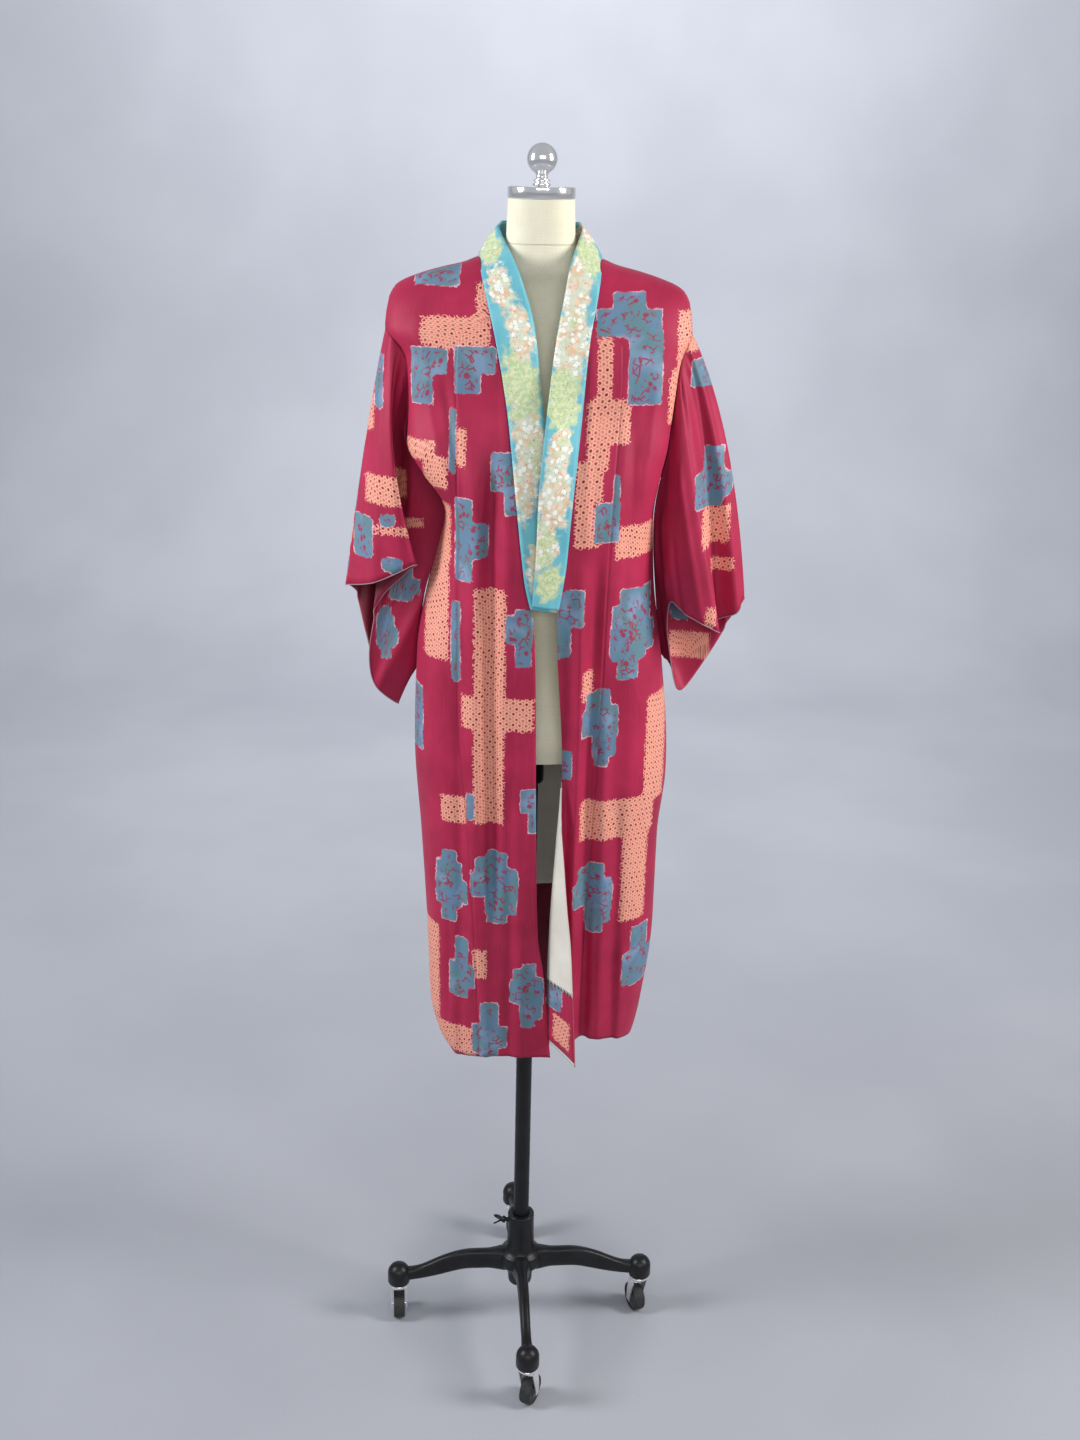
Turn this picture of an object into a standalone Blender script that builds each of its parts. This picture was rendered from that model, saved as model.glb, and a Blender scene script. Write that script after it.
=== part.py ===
"""Silk kimono worn open on a limbless dress form with a four-caster stand.

Metres, +Z up. The wearer faces -Y, so the wearer's right side is at -X.
Cloth is thin walls through sections worked out from the tables below; the
form, the pole, the base and the casters are solid pieces. The stand's axis
is at (AXIS_X, 0); everything is modelled about it and hangs from one empty.
"""
import math
from collections import namedtuple

import bmesh
import bpy
from mathutils import Matrix, Vector

# ---------------------------------------------------------------- sizes
OBJECT_NAME = "silk_kimono_on_dress_form"
AXIS_X = -0.0180          # puts the origin under the middle of the bounding box

CLOTH = 0.0016            # wall of the silk and its backing
BAND = 0.0026             # wall of the doubled collar band
LINING = 0.0010           # wall of lining and hem facing
SEAM = 0.0005             # half the gap left at a seam
NECK_SEAM = 0.0014        # gap between a panel and the collar band
LIFT = 0.0004             # gap between stacked layers

BODY_X = 0.010            # middle of the garment, a little off the axis
ROUND = 2.3               # exponent of the body's rounded plan section
YOKE_Z = 1.62             # the cloth starts to turn over the shoulder here
YOKE_ROUND = 2.2          # exponent of that turn
KENSAKI_Z = 1.735         # top point of the front overlap panels
COLLAR_END_Z = 1.345      # lower end of the collar band
FLAP_TOP_Z = 1.10         # the left front's edge turns outward below this
NECK_HALF = 0.083         # neckline from the axis to the shoulder seam point
NECK_BACK = 0.072         # neckline depth behind the axis

FORM_BASE_Z = 1.090
NECK_TOP_Z = 1.884
CAP_TOP_Z = 1.900
CAP_R = 0.0466
CAP_CHAMFER = 0.001
BALL_R = 0.0208
BALL_Z = 1.935
BALL_END = 150            # degrees from the ball's top to where its stem begins
ARC_STEP = 18             # degrees between the rings of a ball or dome
FINIAL_STEM_R = 0.0105
FINIAL_WAIST_R = 0.0089
FINIAL_WAIST_DROP = 0.003
FINIAL_FOOT = 0.004

POLE_R = 0.0130
POLE_CLEARANCE = 0.0007
POLE_FOOT_Z = 0.092
POLE_HEAD_Z = 1.084
SOCKET_FOOT_Z = 1.030
SOCKET_FLANGE_R = 0.040
SOCKET_FLANGE = 0.006
SOCKET_TAPER = 0.002
SOCKET_R = 0.021

HUB_TOP_Z = 0.222
HUB_FOOT_Z = 0.080
SCREW_Z = 0.206
SCREW_R = 0.0036
SCREW_START = 0.0145      # from the pole's axis out along the screw
SCREW_END = 0.0340
SCREW_HOLE_R = 0.0043
SCREW_HOLE_X = 0.020
SCREW_HOLE_HALF = 0.010
WING_OUT = 0.0415
WING_SIZE = (0.0040, 0.0120, 0.0100)
CASTER_RING_R = 0.2114    # casters from the pole's axis
BASE_TURN = math.radians(4.55)
CUP_R = 0.0192
CUP_FOOT_Z = 0.083
CUP_SIDE = 0.019
CUP_LIP = 0.002
CUP_BORE = 0.022
LEG_HALF_WIDTH = 0.010
LEG_START_R = 0.030
LEG_LEVEL_R = 0.085       # the leg is level out to here
LEG_LEVEL_END = 0.015     # and again for this far inside the caster
LEG_Z = 0.1275
LEG_FALL = 0.0275
LEG_HALF_HEIGHT = 0.0165
LEG_THINNING = 0.0070
LEG_BEVEL = 0.003
CUT_LOW_Z = 0.05
CUT_HIGH_Z = 0.20
WHEEL_R = 0.0252
WHEEL_HALF = 0.0095
WHEEL_TREAD = 0.62        # share of the width that is flat tread
WHEEL_CHAMFER = 0.003
TRAIL = 0.013
FORK_HALF = 0.0130        # from the middle of the fork to the outside of an arm
PLATE_BACK = 0.013
PLATE_FRONT = 0.016
PLATE_TOP = 0.008         # below the fork's top
PLATE_FOOT = 0.012
ARM_TOP = 0.0095
ARM_BELOW_AXLE = 0.006
ARM_HALF_WIDTH = 0.0055
ARM_HALF_WALL = 0.0010
ARM_INSET = 0.0011
ARM_LEAN = 0.75           # share of the trail that the arms lean through
AXLE_END = 0.0015
GAP = 0.0003
SAME_POINT = 0.00002      # closer points are merged
FLAT_ANGLE = 0.01         # faces turned by less are merged, in radians

HUB_FLARE_R = 0.0360
STEM_R = 0.0050
STEM_LENGTH = 0.018
AXLE_R = 0.0030
TURN_CLEARANCE = 0.0006   # round a swivel stem or an axle

ROUND_SEGMENTS = 16
WHEEL_SEGMENTS = 24
SMALL_SEGMENTS = 12
CUT_SEGMENTS = 32
FORM_SEGMENTS = 24
FORM_ROUND = 2.2          # exponent of the form's rounded plan section
WHEEL_Z = WHEEL_R * math.cos(math.pi / WHEEL_SEGMENTS)
LEG_STEPS = 7
PANEL_STEPS = 7
NECK_STEPS = 3
SLEEVE_STEPS = 5
LINING_STEPS = 2          # panel columns each side of the neck that are lined
FOLD_FADE = 0.15          # share of a fold's length over which it dies out
KENSAKI_CUT = 0.003       # the overlap panel stops this far below its point
FLAP_EASE = 0.10          # height over which the front edge turns out
FLAP_SHARES = (0.84, 0.92, 1.0)   # where its three columns lie above that
TRIM = 0.012              # facing stops short of its row by this share of a step
FOLD_NOSE = 0.002         # roundness of the turned edge's fold
ARM_SEAM = 0.0015         # gap between a sleeve and the armhole edge
BAND_START = 0.0022       # the collar band starts this far in from its seam line

# Heights of a panel's points, as shares of the way from hem to shoulder.
PANEL_SHARES = (0.0, 0.05, 0.10, 0.18, 0.26, 0.34, 0.43, 0.53, 0.62, 0.69, 0.74, 0.78,
                0.82, 0.865, 0.905, 0.935, 0.955, 0.975, 0.99, 1.0)
FACING_FRONT_ROW = 2      # row of those points where each hem facing ends
FACING_BACK_ROW = 3
LINING_FRONT_ROW = 5      # and where the lining that shows ends
LINING_BACK_ROW = 8

# ---------------------------------------------------------------- tables
# Plan sections of the robe's body on one side, hem to shoulder: where the
# front and the back reach sideways, and how far forward and back they stand.
Section = namedtuple("Section", "z front_x front_edge_y front_y back_x back_edge_y back_y")

RIGHT_BODY = [
    Section(0.54, -0.108, 0.000, -0.083, -0.108, 0.000, 0.098),
    Section(0.60, -0.142, 0.000, -0.088, -0.142, 0.000, 0.104),
    Section(0.66, -0.155, 0.002, -0.092, -0.155, 0.002, 0.110),
    Section(0.80, -0.160, 0.004, -0.102, -0.160, 0.004, 0.118),
    Section(0.95, -0.168, 0.004, -0.112, -0.168, 0.004, 0.120),
    Section(1.10, -0.177, 0.002, -0.122, -0.177, 0.002, 0.119),
    Section(1.25, -0.172, 0.000, -0.130, -0.172, 0.000, 0.114),
    Section(1.34, -0.157, 0.000, -0.136, -0.157, 0.000, 0.111),
    Section(1.40, -0.141, -0.010, -0.140, -0.141, 0.010, 0.110),
    Section(1.465, -0.127, -0.040, -0.141, -0.134, 0.030, 0.112),
    Section(1.52, -0.160, -0.052, -0.135, -0.158, 0.042, 0.116),
    Section(1.56, -0.181, -0.052, -0.126, -0.176, 0.048, 0.118),
    Section(1.62, -0.178, -0.050, -0.110, -0.180, 0.048, 0.116),
    Section(1.68, -0.181, -0.048, -0.110, -0.186, 0.048, 0.116),
    Section(1.712, -0.212, -0.048, -0.110, -0.212, 0.048, 0.116),
]
LEFT_BODY = [
    Section(0.54, 0.150, 0.004, -0.070, 0.150, 0.004, 0.098),
    Section(0.60, 0.177, 0.006, -0.075, 0.177, 0.006, 0.104),
    Section(0.66, 0.188, 0.008, -0.080, 0.188, 0.008, 0.110),
    Section(0.80, 0.201, 0.008, -0.092, 0.201, 0.008, 0.118),
    Section(0.95, 0.201, 0.006, -0.104, 0.201, 0.006, 0.120),
    Section(1.06, 0.209, 0.004, -0.113, 0.209, 0.004, 0.119),
    Section(1.25, 0.192, 0.000, -0.127, 0.192, 0.000, 0.114),
    Section(1.34, 0.178, 0.000, -0.135, 0.178, 0.000, 0.111),
    Section(1.40, 0.173, -0.010, -0.140, 0.172, 0.010, 0.110),
    Section(1.465, 0.169, -0.036, -0.142, 0.168, 0.030, 0.112),
    Section(1.52, 0.176, -0.050, -0.136, 0.174, 0.042, 0.116),
    Section(1.56, 0.184, -0.050, -0.127, 0.180, 0.048, 0.118),
    Section(1.62, 0.190, -0.050, -0.110, 0.188, 0.048, 0.116),
    Section(1.68, 0.197, -0.048, -0.110, 0.196, 0.048, 0.116),
    Section(1.712, 0.213, -0.048, -0.110, 0.213, 0.048, 0.116),
]

# Lines that run up a front, by height: the overlap panel's seam and its edge.
EdgePoint = namedtuple("EdgePoint", "z x")

RIGHT_SEAM = [
    EdgePoint(0.54, -0.070), EdgePoint(0.78, -0.079), EdgePoint(0.95, -0.089),
    EdgePoint(1.20, -0.106), EdgePoint(1.49, -0.107), EdgePoint(1.66, -0.110),
    EdgePoint(1.70, -0.108), EdgePoint(KENSAKI_Z, -0.069),
]
LEFT_SEAM = [
    EdgePoint(0.54, 0.085), EdgePoint(0.80, 0.090), EdgePoint(1.00, 0.096),
    EdgePoint(1.20, 0.101), EdgePoint(1.46, 0.106), EdgePoint(1.66, 0.114),
    EdgePoint(1.70, 0.113), EdgePoint(KENSAKI_Z, 0.079),
]
RIGHT_EDGE = [
    EdgePoint(0.54, 0.046), EdgePoint(0.61, 0.040), EdgePoint(0.75, 0.027),
    EdgePoint(0.81, 0.018), EdgePoint(1.02, 0.011), EdgePoint(1.21, 0.007),
    EdgePoint(1.32, 0.002), EdgePoint(1.37, -0.010), EdgePoint(1.49, -0.025),
    EdgePoint(1.61, -0.039), EdgePoint(1.71, -0.058), EdgePoint(1.78, -0.076),
    EdgePoint(1.81, -NECK_HALF),
]
LEFT_EDGE = [
    EdgePoint(0.54, 0.036), EdgePoint(0.73, 0.035), EdgePoint(0.84, 0.037),
    EdgePoint(0.97, 0.043), EdgePoint(1.08, 0.048), EdgePoint(1.33, 0.035),
    EdgePoint(1.40, 0.044), EdgePoint(1.48, 0.050), EdgePoint(1.60, 0.060),
    EdgePoint(1.71, 0.070), EdgePoint(1.77, 0.080), EdgePoint(1.81, NECK_HALF),
]

# The shoulder line seen from the front, the same on both sides.
ShoulderPoint = namedtuple("ShoulderPoint", "x z")
SHOULDER = [
    ShoulderPoint(0.000, 1.816), ShoulderPoint(0.060, 1.813), ShoulderPoint(0.083, 1.808),
    ShoulderPoint(0.107, 1.799), ShoulderPoint(0.136, 1.792), ShoulderPoint(0.169, 1.782),
    ShoulderPoint(0.196, 1.770), ShoulderPoint(0.206, 1.757), ShoulderPoint(0.211, 1.735),
    ShoulderPoint(0.213, 1.712),
]

# Hem heights: at the middle, at the side seam and at the centre back.
Hem = namedtuple("Hem", "front side back")
RIGHT_HEM = Hem(0.588, 0.556, 0.548)
LEFT_HEM = Hem(0.615, 0.594, 0.572)

# Free edge of the left front where it is turned out like a lapel.
FlapPoint = namedtuple("FlapPoint", "z x y")
FLAP = [
    FlapPoint(0.540, 0.0835, -0.162), FlapPoint(0.607, 0.0805, -0.155),
    FlapPoint(0.697, 0.0760, -0.142), FlapPoint(0.810, 0.0690, -0.132),
    FlapPoint(0.872, 0.0620, -0.127), FlapPoint(0.950, 0.0550, -0.122),
    FlapPoint(1.020, 0.0490, -0.119),
]

# Long folds in the hanging cloth: where each starts and ends, how wide it
# is and how far it stands out (+) or sinks in (-).
Fold = namedtuple("Fold", "face x_top z_top x_low z_low width height")
FOLDS = [
    Fold("front", -0.061, 1.58, -0.056, 0.90, 0.011, -0.013),
    Fold("front", -0.084, 1.60, -0.080, 0.80, 0.013, 0.006),
    Fold("front", -0.140, 1.36, -0.128, 0.58, 0.018, 0.005),
    Fold("front", 0.068, 1.42, 0.073, 0.56, 0.009, 0.010),
    Fold("front", 0.086, 1.46, 0.092, 0.60, 0.011, -0.010),
    Fold("front", 0.150, 1.40, 0.160, 0.56, 0.020, 0.006),
    Fold("back", -0.115, 1.40, -0.110, 0.52, 0.020, 0.007),
    Fold("back", -0.060, 1.55, -0.050, 0.52, 0.024, -0.007),
    Fold("back", 0.070, 1.50, 0.062, 0.52, 0.022, 0.006),
    Fold("back", 0.128, 1.42, 0.135, 0.52, 0.020, -0.006),
]

# Each sleeve is a tube of folded cloth. A row is one line of the cloth from
# the armhole (a) past the middle (m) to the cuff (c). A joined row starts at
# the point of the body's armhole edge that is nearest to the height az.
Line = namedtuple("Line", "name join ax ay az mx my mz cx cy cz")
RIGHT_SLEEVE = [
    Line("top", "top", 0, 0, 1.712, -0.241, -0.012, 1.563, -0.273, -0.020, 1.342),
    Line("swell", "front", 0, 0, 1.704, -0.222, -0.052, 1.562, -0.228, -0.058, 1.357),
    Line("ridge", "front", 0, 0, 1.694, -0.198, -0.074, 1.556, -0.168, -0.074, 1.388),
    Line("turn", "front", 0, 0, 1.672, -0.204, -0.050, 1.540, -0.184, -0.048, 1.368),
    Line("valley", "front", 0, 0, 1.643, -0.206, -0.026, 1.520, -0.224, -0.024, 1.322),
    Line("leaf", "front", 0, 0, 1.600, -0.196, -0.032, 1.470, -0.238, -0.022, 1.282),
    Line("underarm", "front", 0, 0, 1.555, -0.184, -0.038, 1.420, -0.243, -0.020, 1.236),
    Line("free", "", -0.137, -0.032, 1.460, -0.178, -0.032, 1.342, -0.240, -0.016, 1.196),
    Line("low", "", -0.166, -0.014, 1.330, -0.189, -0.014, 1.250, -0.226, -0.010, 1.172),
    Line("bottom", "", -0.181, 0.006, 1.205, -0.189, 0.004, 1.181, -0.201, 0.000, 1.152),
    Line("back_low", "", -0.175, 0.038, 1.300, -0.200, 0.034, 1.260, -0.231, -0.001, 1.192),
    Line("back_mid", "", -0.152, 0.052, 1.450, -0.208, 0.056, 1.400, -0.248, 0.000, 1.258),
    Line("back_arm", "back", 0, 0, 1.570, -0.226, 0.050, 1.485, -0.264, 0.016, 1.318),
    Line("back_top", "back", 0, 0, 1.660, -0.236, 0.024, 1.545, -0.273, 0.000, 1.337),
]
LEFT_SLEEVE = [
    Line("top", "top", 0, 0, 1.712, 0.271, -0.014, 1.555, 0.309, -0.020, 1.333),
    Line("strip", "front", 0, 0, 1.702, 0.256, -0.032, 1.550, 0.297, -0.036, 1.316),
    Line("valley", "front", 0, 0, 1.690, 0.237, -0.026, 1.540, 0.268, -0.020, 1.300),
    Line("ridge", "front", 0, 0, 1.670, 0.223, -0.064, 1.530, 0.271, -0.074, 1.298),
    Line("face", "front", 0, 0, 1.635, 0.209, -0.073, 1.500, 0.246, -0.081, 1.311),
    Line("face_in", "front", 0, 0, 1.600, 0.197, -0.068, 1.460, 0.216, -0.076, 1.326),
    Line("underarm", "front", 0, 0, 1.555, 0.187, -0.056, 1.420, 0.198, -0.060, 1.338),
    Line("free", "", 0.175, -0.034, 1.460, 0.186, -0.030, 1.380, 0.198, -0.034, 1.290),
    Line("low", "", 0.184, -0.006, 1.340, 0.197, -0.008, 1.275, 0.213, -0.016, 1.204),
    Line("bottom", "", 0.202, 0.014, 1.235, 0.213, 0.008, 1.212, 0.228, -0.002, 1.186),
    Line("back_low", "", 0.190, 0.046, 1.370, 0.226, 0.040, 1.330, 0.262, 0.006, 1.235),
    Line("back_mid", "", 0.184, 0.052, 1.480, 0.243, 0.046, 1.430, 0.285, 0.010, 1.276),
    Line("back_arm", "back", 0, 0, 1.580, 0.258, 0.034, 1.500, 0.298, 0.002, 1.308),
    Line("back_top", "back", 0, 0, 1.660, 0.267, 0.010, 1.540, 0.307, -0.008, 1.326),
]

# Collar band: heights of the seam stations down each front with the free
# inner edge opposite them, then the inner edge round the back of the neck.
Band = namedtuple("Band", "seam_z x y z")
RIGHT_BAND = [
    Band(COLLAR_END_Z, 0.037, -0.129, 1.338), Band(1.42, 0.031, -0.130, 1.418),
    Band(1.50, 0.023, -0.129, 1.500), Band(1.58, 0.014, -0.120, 1.582),
    Band(1.65, 0.004, -0.104, 1.655), Band(1.71, -0.004, -0.088, 1.714),
    Band(1.755, -0.015, -0.074, 1.757), Band(1.785, -0.031, -0.062, 1.800),
]
LEFT_BAND = [
    Band(COLLAR_END_Z, -0.001, -0.147, 1.352), Band(1.42, 0.003, -0.148, 1.424),
    Band(1.50, 0.005, -0.148, 1.503), Band(1.58, 0.011, -0.140, 1.583),
    Band(1.65, 0.018, -0.112, 1.655), Band(1.71, 0.026, -0.090, 1.714),
    Band(1.755, 0.034, -0.074, 1.760), Band(1.785, 0.041, -0.062, 1.803),
]
# degrees round the neck from the wearer's right to the left, inner edge
Nape = namedtuple("Nape", "degrees radius_x radius_y z")
NAPE = [
    Nape(0, 0.0555, 0.0, 1.842), Nape(30, 0.0590, 0.0620, 1.852), Nape(60, 0.0600, 0.0640, 1.848),
    Nape(90, 0.0600, 0.0640, 1.844), Nape(120, 0.0600, 0.0640, 1.848),
    Nape(150, 0.0590, 0.0620, 1.852), Nape(180, 0.0555, 0.0, 1.842),
]

# The form: half width and how far it stands in front of and behind the axis.
Ring = namedtuple("Ring", "z half front back")
FORM = [
    Ring(1.090, 0.126, 0.084, 0.098), Ring(1.130, 0.138, 0.094, 0.104),
    Ring(1.190, 0.130, 0.088, 0.096), Ring(1.260, 0.110, 0.080, 0.080),
    Ring(1.330, 0.108, 0.090, 0.082), Ring(1.400, 0.112, 0.105, 0.088),
    Ring(1.480, 0.119, 0.122, 0.095), Ring(1.550, 0.132, 0.108, 0.100),
    Ring(1.620, 0.152, 0.086, 0.098), Ring(1.680, 0.167, 0.070, 0.088),
    Ring(1.730, 0.178, 0.055, 0.068), Ring(1.758, 0.172, 0.040, 0.050),
    Ring(1.774, 0.150, 0.036, 0.046), Ring(1.786, 0.118, 0.040, 0.048),
    Ring(1.797, 0.077, 0.043, 0.050), Ring(1.812, 0.053, 0.0455, 0.0485),
    Ring(1.835, 0.0475, 0.0455, 0.047), Ring(1.860, 0.0465, 0.046, 0.047),
    Ring(NECK_TOP_Z, 0.0455, 0.0455, 0.0455),
]

# Outlines of turned parts: the hub, and the fork's dish below its top.
Turn = namedtuple("Turn", "r z")
HUB = [
    Turn(0.0205, HUB_TOP_Z), Turn(0.0225, 0.220), Turn(0.0235, 0.165), Turn(0.0280, 0.152),
    Turn(HUB_FLARE_R, 0.145), Turn(HUB_FLARE_R, 0.110), Turn(0.0270, 0.097),
    Turn(0.0215, 0.088), Turn(0.0200, HUB_FOOT_Z),
]
FORK_DISH = [Turn(0.0160, 0.0), Turn(0.0165, -0.006), Turn(0.0120, -0.009), Turn(0, -0.009)]

# Casters: where each stands round the pole and where its wheel trails.
Caster = namedtuple("Caster", "name degrees trail_degrees")
CASTERS = [
    Caster("left", 0.0, 112.0), Caster("rear", 90.0, 8.0),
    Caster("right", 180.0, 96.0), Caster("front", 270.0, 66.0),
]


# ---------------------------------------------------------------- numbers
def smooth(table, column, z):
    """Read one column of a table at height z, with no overshoot between rows."""
    heights = [row.z for row in table]
    values = [getattr(row, column) for row in table]
    if z <= heights[0]:
        return values[0]
    if z >= heights[-1]:
        return values[-1]
    k = max(i for i in range(len(heights) - 1) if heights[i] <= z)
    slopes = [(values[i + 1] - values[i]) / (heights[i + 1] - heights[i])
              for i in range(len(values) - 1)]

    def tangent(i):
        if i == 0 or i == len(values) - 1:
            return slopes[min(i, len(slopes) - 1)]
        before, after = slopes[i - 1], slopes[i]
        if before * after <= 0:
            return 0.0
        return 2 * before * after / (before + after)

    span = heights[k + 1] - heights[k]
    t = (z - heights[k]) / span
    rise, settle = t * t * (3 - 2 * t), t * (1 - t)
    value = values[k] * (1 - rise) + values[k + 1] * rise
    return value + span * settle * (tangent(k) * (1 - t) - tangent(k + 1) * t)


def ramp(t):
    """Ease from 0 to 1."""
    t = min(max(t, 0.0), 1.0)
    return t * t * (3 - 2 * t)


def shoulder_z(x):
    """Height of the shoulder line at x."""
    reach = min(abs(x), SHOULDER[-1].x)
    k = max(i for i in range(len(SHOULDER) - 1) if SHOULDER[i].x <= reach)
    a, b = SHOULDER[k], SHOULDER[k + 1]
    return a.z + (b.z - a.z) * (reach - a.x) / (b.x - a.x)


# ---------------------------------------------------------------- robe body
def fold_height(face, x, z):
    """How far the long folds push the cloth out at a point."""
    total = 0.0
    for fold in FOLDS:
        if fold.face != face:
            continue
        along = (fold.z_top - z) / (fold.z_top - fold.z_low)
        line = fold.x_top + (fold.x_low - fold.x_top) * min(max(along, 0), 1)
        fade = ramp(along / FOLD_FADE) * ramp((1 + FOLD_FADE - along) / FOLD_FADE)
        total += fold.height * fade * math.exp(-((x - line) / fold.width) ** 2)
    return total


def reach_x(table, face, z):
    """Where the side edge of a face lies at a height."""
    return smooth(table, face + "_x", min(z, table[-1].z))


def cloth_y(table, face, x, z):
    """Depth of the front or back surface at x and z."""
    level = min(z, table[-1].z)
    out = -1 if face == "front" else 1
    edge = smooth(table, face + "_edge_y", level) + out * SEAM
    far = smooth(table, face + "_y", level)
    across = min(abs((x - BODY_X) / (reach_x(table, face, z) - BODY_X)), 1.0)
    y = edge + (far - edge) * (1 - across ** ROUND) ** (1 / ROUND)
    y += out * fold_height(face, x, z) * (1 - across ** 6)
    if z > YOKE_Z:
        rise = min((z - YOKE_Z) / (shoulder_z(x) - YOKE_Z), 1.0)
        y *= (1 - rise ** YOKE_ROUND) ** (1 / YOKE_ROUND)
    return y


def cloth_point(table, face, x, z):
    """A point of the robe's outer surface."""
    return Vector((x, cloth_y(table, face, x, z), z))


def back_neck_point(degrees, out=0.0):
    """A point of the back neckline, from the wearer's right (0) to the left."""
    angle = math.radians(degrees)
    x = -(NECK_HALF + out) * math.cos(angle)
    y = (NECK_BACK + out) * math.sin(angle)
    low, high = YOKE_Z, shoulder_z(x)
    for _ in range(24):
        z = (low + high) / 2
        if cloth_y(RIGHT_BODY, "back", x, z) > y:
            low = z
        else:
            high = z
    return Vector((x, y, high))


def hem_z(hem, face, across):
    """Hem height: the side seam is at across 1, the middle of a face at 0."""
    middle = hem.front if face == "front" else hem.back
    return hem.side + (middle - hem.side) * (1 - min(across, 1.0) ** 3)


def panel_columns(table, hem, face, inner):
    """Columns of a body panel from its side edge to its inner edge.

    inner gives the inner edge's x at a height.
    """
    top_z = shoulder_z(NECK_HALF)
    columns = []
    for step in range(PANEL_STEPS + 1):
        lean = math.sin(math.pi / 2 * step / PANEL_STEPS) ** 1.3

        def line_x(z):
            reach = reach_x(table, face, z) - BODY_X
            return BODY_X + reach + (inner(z) - BODY_X - reach) * lean

        foot_reach = reach_x(table, face, hem.side) - BODY_X
        foot = hem_z(hem, face, abs((line_x(hem.side) - BODY_X) / foot_reach))
        head = shoulder_z(line_x(top_z))
        heights = [foot + share * (head - foot) for share in PANEL_SHARES]
        columns.append([cloth_point(table, face, line_x(z), z) for z in heights])
    return columns


def neck_columns(table, hem, neck_column, sign):
    """Columns of the back panel from the neck point to the centre back."""
    columns = []
    for step in range(1, NECK_STEPS + 1):
        share_in = step / NECK_STEPS
        degrees = 90 * share_in if sign < 0 else 180 - 90 * share_in
        top = back_neck_point(degrees, NECK_SEAM)
        if step == NECK_STEPS:
            top.x = sign * SEAM
        foot_x = neck_column[0].x + (BODY_X + sign * SEAM - neck_column[0].x) * share_in
        foot = neck_column[0].z + (hem.back - neck_column[0].z) * share_in
        column = []
        for share in PANEL_SHARES:
            x = foot_x + (top.x - foot_x) * share
            column.append(cloth_point(table, "back", x, foot + share * (top.z - foot)))
        column[-1] = top
        columns.append(column)
    return columns


def overlap_columns(table, hem, seam, edge, sign, shares):
    """Columns of a front overlap panel from its seam to the front edge.

    Its rows meet the rows of the body panel at the seam.
    """
    top_z = KENSAKI_Z - KENSAKI_CUT
    head = shoulder_z(NECK_HALF + NECK_SEAM)
    columns = []
    for share in shares:
        def line_x(z):
            outer = smooth(seam, "x", z) - sign * SEAM
            return outer + (smooth(edge, "x", z) + sign * NECK_SEAM - outer) * share

        reach = reach_x(table, "front", hem.side) - BODY_X
        foot = hem_z(hem, "front", abs((line_x(hem.side) - BODY_X) / reach))
        heights = [foot + level * (head - foot) for level in PANEL_SHARES]
        heights = [z for z in heights if z < top_z - KENSAKI_CUT] + [top_z]
        columns.append([cloth_point(table, "front", line_x(z), z) for z in heights])
    return columns


def flap_columns(plain_columns):
    """The left front's turned edge, from its fold to its free edge.

    plain_columns are the same columns before the edge is turned out.
    """
    columns = []
    for share, plain_column in zip((0.0, 0.5, 1.0), plain_columns):
        column = []
        for plain in plain_column:
            edge_x = smooth(LEFT_EDGE, "x", plain.z) + NECK_SEAM
            fold = cloth_point(LEFT_BODY, "front", edge_x, plain.z)
            free = Vector((smooth(FLAP, "x", plain.z), smooth(FLAP, "y", plain.z), plain.z))
            out = fold.lerp(free, share) + Vector((0, -FOLD_NOSE * (1 - share), 0))
            column.append(plain.lerp(out, ramp((FLAP_TOP_Z - plain.z) / FLAP_EASE)))
        columns.append(column)
    return columns


def moved_in(columns, distance):
    """The same sheet moved along its normals, towards its inner side."""
    moved = []
    for i, column in enumerate(columns):
        line = []
        before, after = columns[max(i - 1, 0)], columns[min(i + 1, len(columns) - 1)]
        for j, point in enumerate(column):
            low, high = column[max(j - 1, 0)], column[min(j + 1, len(column) - 1)]
            normal = (after[j] - before[j]).cross(high - low).normalized()
            line.append(point - normal * distance)
        moved.append(line)
    return moved


# ---------------------------------------------------------------- tools
def material(name, color, roughness, metallic=0.0):
    """A plain Principled material."""
    made = bpy.data.materials.new(name)
    made.use_nodes = True
    shader = made.node_tree.nodes["Principled BSDF"]
    shader.inputs["Base Color"].default_value = (*color, 1.0)
    shader.inputs["Roughness"].default_value = roughness
    shader.inputs["Metallic"].default_value = metallic
    return made


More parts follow.
